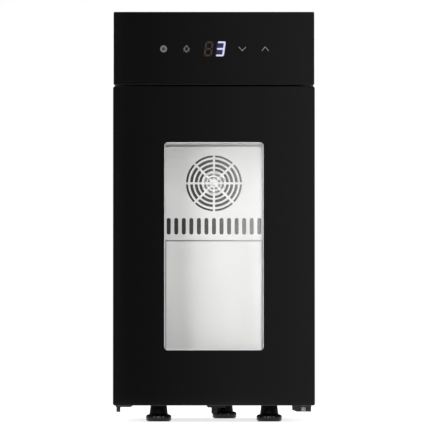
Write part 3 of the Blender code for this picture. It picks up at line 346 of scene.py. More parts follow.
def zinc_steel():
    """Zinc-plated steel of the studs, nuts, screws and inlet pins."""
    paint = Paint("zinc_steel", (0.62, 0.62, 0.63), 0.28, 1.0)
    spangle = paint.cells(500)
    paint.tint((0.38, 0.38, 0.40), (0.62, 0.62, 0.63), spangle)
    paint.vary("Roughness", 0.2, 0.4, paint.noise(400, 3))
    return paint


def pin_steel():
    """Bright turned steel of the lower hinge pin, darker than the plated parts."""
    paint = Paint("pin_steel", (0.20, 0.20, 0.21), 0.16, 1.0)
    lathe_marks = paint.noise(2400, 2, (0.05, 0.05, 1))
    paint.tint((0.14, 0.14, 0.15), (0.24, 0.24, 0.25), lathe_marks)
    paint.vary("Roughness", 0.12, 0.22, lathe_marks)
    return paint


def foam():
    paint = Paint("foam", (0.74, 0.66, 0.44), 0.9)
    cells = paint.cells(700)
    paint.tint((0.62, 0.52, 0.30), (0.82, 0.74, 0.52), cells * 2.0)
    paint.bump(cells, 0.0004)
    return paint


def circuit_board():
    paint = Paint("circuit_board", (0.015, 0.11, 0.045), 0.35)
    tracks = paint.node("TexBrick", {}, {"Vector": paint.place(), "Scale": 220.0}, "Fac")
    paint.tint((0.012, 0.09, 0.035), (0.03, 0.17, 0.07), tracks)
    paint.bump(tracks, 0.00005)
    return paint


def ceramic():
    paint = Paint("ceramic", (0.86, 0.86, 0.84), 0.5)
    paint.tint((0.80, 0.80, 0.78), (0.90, 0.90, 0.89), paint.noise(200, 3))
    return paint


def white_plastic():
    paint = Paint("white_plastic", (0.82, 0.82, 0.80), 0.4)
    paint.vary("Roughness", 0.32, 0.5, paint.noise(500, 3))
    return paint


def lamp_diffuser(strength):
    """The frosted lens of the chamber lamp, lit evenly."""
    paint = Paint("lamp_diffuser", (0.9, 0.9, 0.9), 0.5, Emission_Strength=strength)
    glow = paint.noise(260, 2)
    paint.set("Emission Color", paint.mix((0.93, 0.97, 1.0, 1.0), (1.0, 1.0, 1.0, 1.0), glow))
    return paint


def grey_print_painted_glow(name, tone):
    """Grey print of a touch symbol, sealed under gloss. It also glows white as strongly as its
    tone: a painted glow, with no lamp behind it.
    """
    paint = Paint(name, (tone, tone, tone), 0.05, Emission_Strength=tone)
    speck = paint.noise(2500, 2)
    low, high = tone * 0.4, tone * 0.6
    paint.tint((low, low, low), (high, high, high), speck)
    # Painted glow: the print gives off white light of its own.
    paint.set("Emission Color", (1.0, 1.0, 1.0, 1.0))
    return paint


def lit_segment():
    paint = Paint("lit_segment", (0.02, 0.02, 0.03), 0.05, Emission_Strength=1.0)
    core = paint.noise(900, 1)
    paint.set("Emission Color", paint.mix((0.58, 0.56, 0.90, 1.0), (0.80, 0.78, 1.0, 1.0), core))
    return paint


def unlit_segment():
    paint = Paint("unlit_segment", (0.045, 0.03, 0.022), 0.05)
    paint.tint((0.038, 0.026, 0.019), (0.052, 0.036, 0.026), paint.noise(1200, 2))
    return paint


def figure_glow():
    """A faint violet glow that fades from the middle of the lit figure."""
    paint = Paint("figure_glow", (0.004, 0.004, 0.005), 0.05, Emission_Strength=1.0)
    across = abs(paint.axis("X") - LIT_X) / GLOW_REACH[0]
    up = abs(paint.axis("Z") - CONTROL_Z) / GLOW_REACH[1]
    fade = (1.0 - across.math("MAXIMUM", up)).clamped()
    dark, violet = (0.003, 0.002, 0.004, 1.0), (0.045, 0.035, 0.13, 1.0)
    paint.set("Emission Color", paint.mix(dark, violet, fade))
    return paint


def label_paper():
    """Silvered paper label with faint printed rings."""
    paint = Paint("label_paper", (0.55, 0.55, 0.55), 0.45)
    rings = paint.node("TexWave", {"wave_type": "RINGS", "rings_direction": "Y"}, {
        "Vector": paint.place(), "Scale": 55.0, "Distortion": 1.5, "Detail": 2.0,
    }, "Fac")
    paint.tint((0.40, 0.40, 0.40), (0.68, 0.68, 0.68), rings)
    return paint


# ---- shapes


def box_shape(low, high, corner=0.0, segments=6):
    """A box between two corners. A corner radius rounds the four edges that run back."""
    low, high = Vector(low), Vector(high)
    shape = bmesh.new()
    place = Matrix.Translation((low + high) / 2) @ Matrix.Diagonal((*(high - low), 1.0))
    bmesh.ops.create_cube(shape, size=1.0, matrix=place)
    if corner:
        bevel(shape, edges_running_back(shape.edges), corner, segments)
    return shape


def edges_running_back(edges):
    """The edges that lie along Y."""
    return [
        edge for edge in edges
        if abs((edge.verts[1].co - edge.verts[0].co).normalized().y) > 0.999
    ]


def top_edges(shape, below):
    """The edges that lie along Y above a height."""
    return [edge for edge in edges_running_back(shape.edges) if edge.verts[0].co.z > below]


def points_of(geom):
    return [item for item in geom if isinstance(item, bmesh.types.BMVert)]


def bevel(shape, edges, width, segments=2):
    bmesh.ops.bevel(
        shape, geom=edges, offset=width, offset_type="OFFSET", segments=segments,
        profile=0.5, affect="EDGES", material=-1, clamp_overlap=True,
    )


def soften(shape, width, segments=2, angle=35):
    """Rounds every edge sharper than the angle."""
    limit = math.radians(angle)
    sharp = [edge for edge in shape.edges if edge.is_manifold and edge.calc_face_angle(0) > limit]
    bevel(shape, sharp, width, segments)


def scratch(shape):
    """A short-lived object that holds the shape for a modifier."""
    item = bpy.data.objects.new("scratch", mesh_of("scratch", shape))
    link(item)
    return item


def combine(shape, *others, operation="DIFFERENCE"):
    """Cuts the other shapes out of the first, or joins them to it."""
    item = scratch(shape)
    tools = [scratch(other) for other in others]
    for tool in tools:
        change = item.modifiers.new("combine", "BOOLEAN")
        change.operation = operation
        change.solver = "EXACT"
        change.object = tool
    bpy.context.view_layer.update()
    graph = bpy.context.evaluated_depsgraph_get()
    result = bmesh.new()
    result.from_mesh(item.evaluated_get(graph).to_mesh())
    for old in (item, *tools):
        bpy.data.objects.remove(old)
    bmesh.ops.remove_doubles(result, verts=result.verts, dist=1e-7)
    return result


TURN = {
    "Y": Matrix.Rotation(math.pi / 2, 4, "X"),
    "Z": Matrix.Identity(4),
}


def rod(radius, low, high, centre, sides=48):
    """A round bar that runs back from y low to y high. The centre gives its x and z."""
    middle = Vector(centre)
    middle.y = (low + high) / 2
    shape = bmesh.new()
    bmesh.ops.create_cone(
        shape, cap_ends=True, segments=sides, radius1=radius, radius2=radius, depth=high - low,
        matrix=Matrix.Translation(middle) @ TURN["Y"],
    )
    return shape


def turned(profile, centre, axis="Z", steps=48):
    """A profile of (radius, height) points spun about an axis through the centre."""
    shape = bmesh.new()
    points = [shape.verts.new((radius, 0, height)) for radius, height in profile]
    edges = [shape.edges.new(pair) for pair in zip(points, points[1:])]
    bmesh.ops.spin(
        shape, geom=points + edges, cent=(0, 0, 0), axis=(0, 0, 1), angle=2 * math.pi,
        steps=steps, use_merge=True,
    )
    bmesh.ops.remove_doubles(shape, verts=shape.verts, dist=1e-7)
    bmesh.ops.recalc_face_normals(shape, faces=shape.faces)
    bmesh.ops.transform(shape, matrix=Matrix.Translation(centre) @ TURN[axis], verts=shape.verts)
    return shape


def rounded_sheet(shape, half_x, low_z, high_z, corner, y, segments=8):
    """Adds a flat rounded rectangle that faces the front, and returns its face."""
    size = Matrix.Diagonal((2 * half_x, high_z - low_z, 1.0, 1.0))
    place = Matrix.Translation((0, y, (low_z + high_z) / 2)) @ TURN["Y"] @ size
    made = bmesh.ops.create_grid(shape, x_segments=1, y_segments=1, size=0.5, matrix=place)
    bmesh.ops.bevel(
        shape, geom=made["verts"], offset=corner, offset_type="OFFSET", segments=segments,
        profile=0.5, affect="VERTICES", material=-1,
    )
    shape.faces.ensure_lookup_table()
    return shape.faces[-1]


def thicken(shape, depth):
    """Makes flat faces into a closed slab that runs back from them."""
    grown = bmesh.ops.extrude_face_region(shape, geom=shape.faces[:], use_keep_orig=True)
    bmesh.ops.translate(shape, verts=points_of(grown["geom"]), vec=(0, depth, 0))
    bmesh.ops.recalc_face_normals(shape, faces=shape.faces)


def piece(name, shape, paints, stands_for=(), body=None, smooth=40):
    """Makes the shape a finished piece that rides on its body."""
    mesh = mesh_of(name, shape)
    for paint in paints:
        mesh.materials.append(paint.material)
    mesh.shade_smooth()
    mesh.set_sharp_from_angle(angle=math.radians(smooth))
    item = bpy.data.objects.new(name, mesh)
    weight = item.modifiers.new("flat_faces_lead", "WEIGHTED_NORMAL")
    weight.keep_sharp = True
    link(item)
    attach(item, body or BODY[stands_for[0]])
    if stands_for:
        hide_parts(*stands_for)


def softened(name, node, paint, width):
    """A copy of a node with its sharp edges rounded, which stands for it."""
    shape = bmesh.new()
    shape.from_mesh(frame["nodes"][node].data)
    bmesh.ops.remove_doubles(shape, verts=shape.verts, dist=1e-6)
    bmesh.ops.dissolve_limit(
        shape, angle_limit=math.radians(0.5), verts=shape.verts, edges=shape.edges
    )
    soften(shape, width, 2, 40)
    piece(name, shape, (paint,), (node,))


def dress(node, paint):
    """Gives a kept node its finish."""
    mesh = frame["nodes"][node].data
    mesh.materials.clear()
    mesh.materials.append(paint.material)


# ---- studio

FLOOR_HALF = 1.8
FLOOR_GLOW = 0.75
EVEN_LIGHT = 0.22
CARD_PLACE = (0, -8.0, 0.45)
CARD_SIZE = 0.7
CARD_HALF = 0.28
CARD_LEAST, CARD_RISE = 0.045, 0.27
CARD_STRIP, CARD_STRIP_X, CARD_STRIP_HALF = 0.35, -0.2535, 3.5 * MM
LAMP_STRENGTH = 7.0

VIEW_HEIGHT = 70 * MM
VIEW_DISTANCE = 6.0
VIEW_AIM = 231.65 * MM
VIEW_SIDE = 1.2 * MM
LENS = 448.8


def make_camera():
    camera = bpy.data.objects.new("camera", bpy.data.cameras.new("camera"))
    link(camera)
    camera.location = (VIEW_SIDE, FRONT - VIEW_DISTANCE, VIEW_HEIGHT)
    aim = Vector((VIEW_SIDE, FRONT, VIEW_AIM)) - camera.location
    camera.rotation_euler = aim.to_track_quat("-Z", "Y").to_euler()
    camera.data.lens = LENS
    camera.data.sensor_width = 36
    camera.data.clip_end = 100
    bpy.context.scene.camera = camera


def make_world():
    """White behind everything, and a dimmer even light from all round."""
    world = bpy.data.worlds.new("studio")
    bpy.context.scene.world = world
    world.use_nodes = True
    nodes, links = world.node_tree.nodes, world.node_tree.links
    white = nodes["Background"]
    white.inputs["Color"].default_value = (1.0, 1.0, 1.0, 1.0)
    dim = nodes.new("ShaderNodeBackground")
    dim.inputs["Color"].default_value = (1.0, 1.0, 1.0, 1.0)
    dim.inputs["Strength"].default_value = EVEN_LIGHT
    rays = nodes.new("ShaderNodeLightPath")
    mix = nodes.new("ShaderNodeMixShader")
    links.new(rays.outputs["Is Camera Ray"], mix.inputs[0])
    links.new(dim.outputs[0], mix.inputs[1])
    links.new(white.outputs[0], mix.inputs[2])
    links.new(mix.outputs[0], nodes["World Output"].inputs["Surface"])


def stage_sheet(name, size, place, paint):
    """A flat square of the studio, which isn't part of the cabinet."""
    shape = bmesh.new()
    bmesh.ops.create_grid(shape, x_segments=1, y_segments=1, size=size, matrix=place)
    mesh = mesh_of(name, shape)
    mesh.materials.append(paint.material)
    sheet = bpy.data.objects.new(name, mesh)
    link(sheet)
    return sheet


def make_floor():
    paint = Paint("floor", (0.92, 0.92, 0.92), 0.7, Emission_Strength=FLOOR_GLOW)
    paint.set("Emission Color", (1.0, 1.0, 1.0, 1.0))
    stage_sheet("floor", FLOOR_HALF, Matrix.Identity(4), paint)


def make_card():
    """A graduated card behind the camera, for the long soft reflections in the glass."""
    paint = Paint("card", (0.0, 0.0, 0.0), 1.0)
    across = paint.axis("X")
    slope = ((across + CARD_HALF) / (2 * CARD_HALF)).clamped()
    strip = 1.0 - abs(across - CARD_STRIP_X).above(CARD_STRIP_HALF, 1 * MM)
    strength = slope * CARD_RISE + CARD_LEAST + strip * CARD_STRIP
    glow = paint.node("Emission", {}, {"Color": (1.0, 1.0, 1.0, 1.0), "Strength": strength})
    paint.feed(paint.output.inputs["Surface"], glow)
    place = Matrix.Translation(CARD_PLACE) @ TURN["Y"]
    stage_sheet("card", CARD_SIZE, place, paint).visible_camera = False


def softbox(name, place, aim, size, energy, only=None):
    """A soft rectangular light. Given a list, it lights only what is in the list."""
    data = bpy.data.lights.new(name, "AREA")
    data.shape = "RECTANGLE"
    data.size, data.size_y = size
    data.energy = energy
    light = bpy.data.objects.new(name, data)
    link(light)
    light.location = place
    run = Vector(aim) - Vector(place)
    light.rotation_euler = run.to_track_quat("-Z", "Y").to_euler()
    light.visible_camera = False
    if only:
        receivers = bpy.data.collections.new(f"{name}_receivers")
        for item in only:
            receivers.objects.link(item)
        light.light_linking.receiver_collection = receivers


def make_lights():
    """Two tall softboxes in front, five for the rest, and one that lights only the inner pane, to
    brighten its painted sheen.
    """
    middle = (0, 0, 0.25)
    softbox("front_right", (0.66, -4.0, 0.3), middle, (0.78, 1.3), 13.5)
    softbox("front_left", (-0.66, -4.0, 0.3), middle, (0.78, 1.3), 17)
    softbox("side_right", (2.2, -2.6, 1.0), middle, (1.0, 1.8), 22)
    softbox("side_left", (-2.2, -2.6, 1.0), middle, (1.0, 1.8), 22)
    softbox("top", (0, -0.3, 2.4), middle, (2.2, 2.2), 9)
    softbox("rear_left", (-1.8, 2.2, 1.3), middle, (1.2, 1.6), 26)
    softbox("rear_right", (1.8, 2.2, 1.3), middle, (1.2, 1.6), 26)
    window = (WINDOW_HALF, FRONT, (WINDOW_LOW + WINDOW_HIGH) / 2)
    for_painted_sheen = (frame["nodes"]["door_inner_glass"],)
    softbox("for_painted_sheen", (0.26, -1.7, 0.4), window, (0.3, 0.7), 80, for_painted_sheen)


# ---- the door

# The painted sheen on the inner pane: where it starts, the width it rises over, and its thickest
# share.
SHEEN_START, SHEEN_RUN = -50 * MM, 110 * MM
SHEEN_MOST = 0.06
GROUND_EDGE = 0.2 * MM
GLASS_CORNER = 2.2 * MM
GASKET_BULB = 1.2 * MM
INNER_CORNER = 0.4 * MM


def paint_window(shape):
    """Gives the faces inside the window's outline the second material."""
    edge = 0.1 * MM
    for face in shape.faces:
        face.material_index = int(all(
            abs(corner.co.x) < WINDOW_HALF + edge
            and WINDOW_LOW - edge < corner.co.z < WINDOW_HIGH + edge
            for corner in face.verts
        ))


def make_door_glass():
    """The outer pane: a clear window in a printed black border, with a ground edge."""
    past = 10 * MM
    window = box_shape(
        (-WINDOW_HALF, DOOR_LOW.y - past, WINDOW_LOW),
        (WINDOW_HALF, DOOR_HIGH.y + past, WINDOW_HIGH),
        WINDOW_CORNER,
    )
    shape = combine(box_shape(DOOR_LOW, DOOR_HIGH, GLASS_CORNER), window)
    walls = [
        face for face in shape.faces
        if abs(face.normal.y) < 0.1 and abs(face.calc_center_median().x) < WINDOW_HALF + 1 * MM
        and WINDOW_LOW - 1 * MM < face.calc_center_median().z < WINDOW_HIGH + 1 * MM
    ]
    bmesh.ops.delete(shape, geom=walls, context="FACES")
    rims = [edge for edge in shape.edges if edge.is_boundary]
    bmesh.ops.edgeloop_fill(shape, edges=rims)
    bmesh.ops.recalc_face_normals(shape, faces=shape.faces)
    soften(shape, GROUND_EDGE)
    paint_window(shape)
    piece("door_glass_pane", shape, (PRINT, PANE), ("door_outer_glass",))


def ring_of_section(section, half_x, low_z, high_z, corner):
    """A closed ring: a section of (inset, y) points carried round a rounded rectangle."""
    shape = bmesh.new()
    points = [shape.verts.new((half_x - inset, y, low_z + corner)) for inset, y in section]
    swept = points + [shape.edges.new(pair) for pair in zip(points, points[1:] + points[:1])]
    side, rise = half_x - corner, high_z - low_z - 2 * corner
    low, high = low_z + corner, high_z - corner
    for run, centre in (
        ((0, 0, rise), (side, 0, high)), ((-2 * side, 0, 0), (-side, 0, high)),
        ((0, 0, -rise), (-side, 0, low)), ((2 * side, 0, 0), (side, 0, low)),
    ):
        edges = [item for item in swept if isinstance(item, bmesh.types.BMEdge)]
        swept = bmesh.ops.extrude_edge_only(shape, edges=edges)["geom"]
        bmesh.ops.translate(shape, verts=points_of(swept), vec=run)
        loose = [item for item in swept if not isinstance(item, bmesh.types.BMFace)]
        swept = bmesh.ops.spin(
            shape, geom=loose, cent=centre, axis=(0, -1, 0), angle=math.pi / 2, steps=8
        )["geom_last"]
    bmesh.ops.remove_doubles(shape, verts=shape.verts, dist=1e-6)
    bmesh.ops.recalc_face_normals(shape, faces=shape.faces)
    return shape


def make_spacer():
    """The aluminium spacer between the panes, with a rolled inner edge."""
    front, back, lip = SPACER_LOW.y, SPACER_HIGH.y, 0.5 * MM
    inner = SPACER_WIDTH
    section = (
        (0, front), (0, back), (inner - lip, back), (inner, back - lip),
        (inner, front + lip), (inner - lip, front),
    )
    shape = ring_of_section(
        section, SPACER_HIGH.x, SPACER_LOW.z, SPACER_HIGH.z, inner + INNER_CORNER
    )
    piece("window_spacer", shape, (ALUMINIUM,), ("glass_spacer",), smooth=20)


def make_gasket():
    """The door seal: a bellows with a rounded magnetic strip that meets the cabinet."""
    low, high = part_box("door_gasket")
    front, back = low.y, high.y
    width = 12 * MM
    half = (
        (0.6 * MM, front), (0.6 * MM, front + 1.6 * MM), (2.2 * MM, front + 2.6 * MM),
        (0.9 * MM, front + 4.0 * MM), (0.1 * MM, front + 5.0 * MM), (0.1 * MM, back - GASKET_BULB),
        (GASKET_BULB, back),
    )
    section = half + tuple((width - inset, y) for inset, y in reversed(half))
    shape = ring_of_section(section, high.x, low.z, high.z, width + INNER_CORNER)
    piece("door_seal", shape, (RUBBER,), ("door_gasket",), smooth=60)


def make_door():
    make_door_glass()
    make_spacer()
    make_gasket()
    softened("door_frame_moulding", "door_frame", PLASTIC, 0.6 * MM)


# ---- the control head

PRINT_LIFT = 0.1 * MM  # how far the print stands in front of the head's glass
CONTROL_Z = 417.9 * MM
DIGIT = (9.2 * MM, 16.7 * MM)
SEGMENT = 2.0 * MM
DIGIT_LEAN = 0.14
SYMBOL_PLACES = {"cooling": -56.4 * MM, "lamp": -30.7 * MM, "down": 31.8 * MM, "up": 57.5 * MM}
GHOST_X = -5.9 * MM
LIT_X = 7.6 * MM
GLOW_REACH = (6.5 * MM, 9.5 * MM)


def bar(shape, start, end, width, y, point=0.0):
    """Adds a flat bar between two (x, z) points, with pointed ends if asked."""
    start, end = Vector((start[0], y, start[1])), Vector((end[0], y, end[1]))
    run = end - start
    turn = Matrix.Rotation(math.atan2(-run.z, run.x), 4, "Y")
    size = Matrix.Diagonal((run.length, PRINT_LIFT * 0.8, width, 1.0))
    place = Matrix.Translation((start + end) / 2) @ turn @ size
    made = bmesh.ops.create_cube(shape, size=1.0, matrix=place)
    if not point:
        return
    ends = set()
    for corner in made["verts"]:
        for edge in corner.link_edges:
            if abs((edge.verts[0].co - edge.verts[1].co).normalized().y) > 0.999:
                ends.add(edge)
    bevel(shape, list(ends), point, 1)


def make_head_glass():
    shape = bmesh.new()
    front = HEAD_LOW.y + 1.2 * PRINT_LIFT
    rounded_sheet(shape, HEAD_HIGH.x, HEAD_LOW.z, HEAD_HIGH.z, 1.4 * MM, front)
    thicken(shape, HEAD_HIGH.y - front)
    soften(shape, GROUND_EDGE)
    piece("head_glass_pane", shape, (PRINT,), ("control_glass",))


def print_symbol(name, shape, paint):
    piece(name, shape, (paint,), body=BODY["control_glass"])


def make_cooling_symbol():
    """A round grey key with a snow star on it."""
    y = FRONT + PRINT_LIFT
    x = SYMBOL_PLACES["cooling"]
    disc = rod(3.9 * MM, y - 0.05 * MM, y + 0.04 * MM, (x, 0, CONTROL_Z))
    print_symbol("cooling_key_disc", disc, grey_print_painted_glow("key_grey", 0.11))
    star = bmesh.new()
    reach = 2.7 * MM
    for index in range(3):
        angle = math.pi * index / 3 + math.pi / 6
        across, up = reach * math.cos(angle), reach * math.sin(angle)
        start, end = (x - across, CONTROL_Z - up), (x + across, CONTROL_Z + up)
        bar(star, start, end, 0.7 * MM, y - 0.05 * MM)
    print_symbol("cooling_key_star", star, grey_print_painted_glow("star_grey", 0.012))


def make_lamp_symbol():
    """A hanging bulb in outline with short rays round it."""
    y = FRONT + 0.5 * PRINT_LIFT
    x, z = SYMBOL_PLACES["lamp"], CONTROL_Z - 0.4 * MM
    shape = bmesh.new()
    steps, radius, line = 14, 2.3 * MM, 0.3 * MM
    start, end = math.radians(140), math.radians(400)
    points = [
        (x + radius * math.cos(start + (end - start) * index / steps),
         z + radius * math.sin(start + (end - start) * index / steps))
        for index in range(steps + 1)
    ]
    neck = [(x + 0.4 * MM, z + 3.9 * MM), (x - 0.4 * MM, z + 3.9 * MM)]
    outline = points + neck + points[:1]
    for first, second in zip(outline, outline[1:]):
        bar(shape, first, second, line, y)
    inner, outer = 3.3 * MM, 4.0 * MM
    for angle in (15, -35, -90, -145, 165):
        turn = math.radians(angle)
        bar(
            shape, (x + inner * math.cos(turn), z + inner * math.sin(turn)),
            (x + outer * math.cos(turn), z + outer * math.sin(turn)), line, y,
        )
    print_symbol("lamp_key_print", shape, grey_print_painted_glow("lamp_grey", 0.34))


def make_arrows():
    """The down and up keys, each an open arrow head."""
    paint = grey_print_painted_glow("arrow_grey", 0.4)
    y = FRONT + 0.5 * PRINT_LIFT
    reach, rise, line = 3.9 * MM, 2.3 * MM, 0.3 * MM
    for name, side in (("down", 1), ("up", -1)):
        x = SYMBOL_PLACES[name]
        shape = bmesh.new()
        tip = (x, CONTROL_Z - side * rise)
        for way in (-1, 1):
            bar(shape, (x + way * reach, CONTROL_Z + side * rise), tip, line, y)
        print_symbol(f"{name}_key_print", shape, paint)


def make_digit(name, x, segments, paint, y):
    """One seven-segment figure, leaning to the right."""
    across, up = (DIGIT[0] - SEGMENT) / 2, (DIGIT[1] - SEGMENT) / 2
    gap = 0.25 * MM
    ends = {
        "top": ((-across, up), (across, up)),
        "middle": ((-across, 0), (across, 0)),
        "bottom": ((-across, -up), (across, -up)),
        "upper_left": ((-across, 0), (-across, up)),
        "upper_right": ((across, 0), (across, up)),
        "lower_left": ((-across, -up), (-across, 0)),
        "lower_right": ((across, -up), (across, 0)),
    }
    shape = bmesh.new()
    for segment in segments:
        (x1, z1), (x2, z2) = ends[segment]
        slope = Vector((x2 - x1, z2 - z1)).normalized() * gap
        start = (x + x1 + slope.x, CONTROL_Z + z1 + slope.y)
        end = (x + x2 - slope.x, CONTROL_Z + z2 - slope.y)
        grown = Vector((end[0] - start[0], end[1] - start[1])).normalized() * SEGMENT / 2
        bar(
            shape, (start[0] - grown.x, start[1] - grown.y), (end[0] + grown.x, end[1] + grown.y),
            SEGMENT, y, 0.46 * SEGMENT,
        )
    lean(shape)
    print_symbol(name, shape, paint)


def lean(shape):
    """Leans a figure to the right about the row of controls."""
    slant = Matrix.Identity(4)
    slant[0][2] = DIGIT_LEAN
    place = Matrix.Translation((0, 0, CONTROL_Z))
    bmesh.ops.transform(shape, matrix=place @ slant @ place.inverted(), verts=shape.verts)


ALL_SEGMENTS = ("top", "middle", "bottom", "upper_left", "upper_right", "lower_left", "lower_right")
THREE = ("top", "middle", "bottom", "upper_right", "lower_right")


def make_display():
    """Two figures: the left one unlit, the right one lit over its own faint glow."""
    deep, proud = FRONT + 0.8 * PRINT_LIFT, FRONT + 0.5 * PRINT_LIFT
    make_digit("tens_figure_unlit", GHOST_X, ALL_SEGMENTS, unlit_segment(), proud)
    make_digit("units_figure_lit", LIT_X, THREE, lit_segment(), proud)
    half = Vector((DIGIT[0] / 2 + 0.6 * MM, 0, DIGIT[1] / 2 + 0.4 * MM))
    middle = Vector((LIT_X, deep, CONTROL_Z))
    depth = Vector((0, 0.2 * PRINT_LIFT, 0))
    glow = box_shape(middle - half - depth, middle + half + depth, 1 * MM)
    lean(glow)
    print_symbol("units_figure_glow", glow, figure_glow())


def make_head():
    make_head_glass()
    make_cooling_symbol()
    make_lamp_symbol()
    make_arrows()
    make_display()
    softened("head_cover_moulding", "head_housing", PLASTIC, 0.5 * MM)


# ---- the chamber

SHEET = 1 * MM
BEND = 1.0 * MM
SLOT_SIZE = (4.7 * MM, 19.6 * MM)
SLOT_PITCH = 8.87 * MM
SLOT_COUNT = 13
SLOT_Z = FAN_LOW.z - 10.5 * MM
RINGS = ((32.9, 30.5), (28.1, 24.8), (22.7, 19.3), (17.5, 14.5), (12.0, 9.5), (7.6, 5.2))
SPOKE = 2.5 * MM


def slot_cutter(centres, width, height, low_y, high_y, segments=6):
    """One shape that holds a round-ended slot at each (x, z)."""
    end = min(width, height) / 2 * 0.999
    shape = bmesh.new()
    for x, z in centres:
        place = Matrix.Translation((x, (low_y + high_y) / 2, z))
        size = Matrix.Diagonal((width, high_y - low_y, height, 1.0))
        made = bmesh.ops.create_cube(shape, size=1.0, matrix=place @ size)
        edges = {edge for corner in made["verts"] for edge in corner.link_edges}
        bevel(shape, edges_running_back(edges), end, segments)
    return shape


def hole_cutter(centres, radius, low_y, high_y, sides=24):
    shape = bmesh.new()
    for x, z in centres:
        place = Matrix.Translation((x, (low_y + high_y) / 2, z)) @ TURN["Y"]
        bmesh.ops.create_cone(
            shape, cap_ends=True, segments=sides, radius1=radius, radius2=radius,
            depth=high_y - low_y, matrix=place,
        )
    return shape


def ring_cutter(rings, spoke, spokes, low_y, high_y, turn=0.0):
    """Ring slots about the fan's axis, with straight spokes left between them."""
    shape = bmesh.new()
    for outer, inner in rings:
        edges = []
        for radius in (outer * MM, inner * MM):
            circle = bmesh.ops.create_circle(
                shape, cap_ends=False, segments=72, radius=radius, matrix=TURN["Y"]
            )
            edges += {edge for corner in circle["verts"] for edge in corner.link_edges}
        bmesh.ops.bridge_loops(shape, edges=edges)
    bmesh.ops.translate(shape, verts=shape.verts, vec=(0, low_y, FAN_Z))
    thicken(shape, high_y - low_y)
    reach = rings[0][0] * MM + 2 * MM
    bars = []
    for index in range(spokes):
        spoke_bar = box_shape(
            (-reach, low_y - 1 * MM, -spoke / 2), (reach, high_y + 1 * MM, spoke / 2)
        )
        angle = turn + index * math.pi / spokes
        place = Matrix.Translation((0, 0, FAN_Z)) @ Matrix.Rotation(angle, 4, "Y")
        bmesh.ops.transform(spoke_bar, matrix=place, verts=spoke_bar.verts)
        bars.append(spoke_bar)
    return combine(shape, *bars)


def make_fan_cover():
    """The stainless fan cover: folded sheet with a round grille and a row of slots."""
    low, high = COVER_LOW, COVER_HIGH
    corner = 3.7 * MM
    shape = box_shape(low, high)
    bevel(shape, top_edges(shape, high.z - SHEET), corner, 6)
    folds = [
        e for e in shape.edges
        if all(abs(v.co.y - low.y) < 1e-6 for v in e.verts)
        and max(v.co.z for v in e.verts) > low.z + SHEET
    ]
    bevel(shape, folds, BEND, 3)
    reach = 10 * MM
    inside = box_shape(
        (low.x + SHEET, low.y + SHEET, low.z - reach),
        (high.x - SHEET, high.y + reach, high.z - SHEET),
    )
    bevel(inside, top_edges(inside, high.z - 2 * SHEET), corner - SHEET, 6)
    front, back = low.y - reach, low.y + 3 * SHEET
    span = SLOT_COUNT // 2
    centres = [(index * SLOT_PITCH, SLOT_Z) for index in range(-span, span + 1)]
    shape = combine(
        shape, inside, slot_cutter(centres, *SLOT_SIZE, front, back),
        ring_cutter(RINGS, SPOKE, 4, front, back),
    )
    soften(shape, 0.12 * MM, 1, 60)
    piece("fan_cover_sheet", shape, (STAINLESS,), ("fan_cover",))


def make_duct_panel():
    """The plain panel below: its top edge is set back to pass behind the fan cover."""
    low, high = PANEL_LOW, PANEL_HIGH
    face, set_back = COVER_LOW.y + 0.15 * MM, low.y
    seam = COVER_LOW.z
    points = (
        (face, low.z), (face, seam - 1.0 * MM), (set_back, seam - 0.2 * MM), (set_back, high.z),
        (set_back + SHEET, high.z), (set_back + SHEET, seam - 0.6 * MM),
        (face + SHEET, seam - 1.4 * MM), (face + SHEET, low.z),
    )
    shape = bmesh.new()
    shape.faces.new([shape.verts.new((low.x, y, z)) for y, z in points])
    grown = bmesh.ops.extrude_face_region(shape, geom=shape.faces[:], use_keep_orig=True)
    bmesh.ops.translate(shape, verts=points_of(grown["geom"]), vec=(high.x - low.x, 0, 0))
    bmesh.ops.recalc_face_normals(shape, faces=shape.faces)
    soften(shape, 0.35 * MM, 2)
    lips = []
    for x in (low.x, high.x - SHEET):
        lips.append(box_shape((x, face + SHEET / 2, low.z), (x + SHEET, high.y, seam - 3 * MM)))
    shape = combine(shape, *lips, operation="UNION")
    piece("duct_panel_sheet", shape, (STAINLESS,), ("duct_panel",))


def make_liner():
    """The stainless chamber with rounded corners. Its rear wall behind the fan cover takes the
    black plastic finish: painted shade that keeps the cover's slots dark.
    """
    low, high = LINER_LOW, LINER_HIGH
    radius = 5 * MM
    shape = box_shape(low, high, radius, segments=10)
    inside_low = low + Vector((SHEET, -10 * MM, SHEET))
    inside_high = high - Vector((SHEET, SHEET, SHEET))
    inside = box_shape(inside_low, inside_high, radius - SHEET, segments=10)
    block_low, block_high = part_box("conduction_block")
    gap = Vector((1 * MM, 10 * MM, 1 * MM))
    lens_low, lens_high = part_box("lamp_lens")
    room = Vector((0.3 * MM, 0.3 * MM, 0))
    shape = combine(
        shape, inside, box_shape(block_low - gap, block_high + gap),
        box_shape(lens_low - room, lens_high + room + Vector((0, 0, 5 * MM))),
    )
    # Painted shade: the rear wall behind the fan cover gets the black plastic finish, not
    # stainless, so the slots read dark.
    for face in shape.faces:
        painted_shade_behind_cover = face.normal.y < -0.9 and face.calc_center_median().y > high.y - 2 * SHEET
        face.material_index = int(painted_shade_behind_cover)
    piece("chamber_tub", shape, (STAINLESS, PLASTIC), ("chamber_liner",))


# ---- fans

# Each fan, the radius of its hub, which way its blades twist and by how many degrees
FANS = (("circulation_fan", 16 * MM, 1, 44), ("exhaust_fan", 20 * MM, -1, 46))
BLADES = 7
FAN_RIM = 2.5 * MM
SPIDER = 2.5 * MM
SPIDER_ARM = 4 * MM


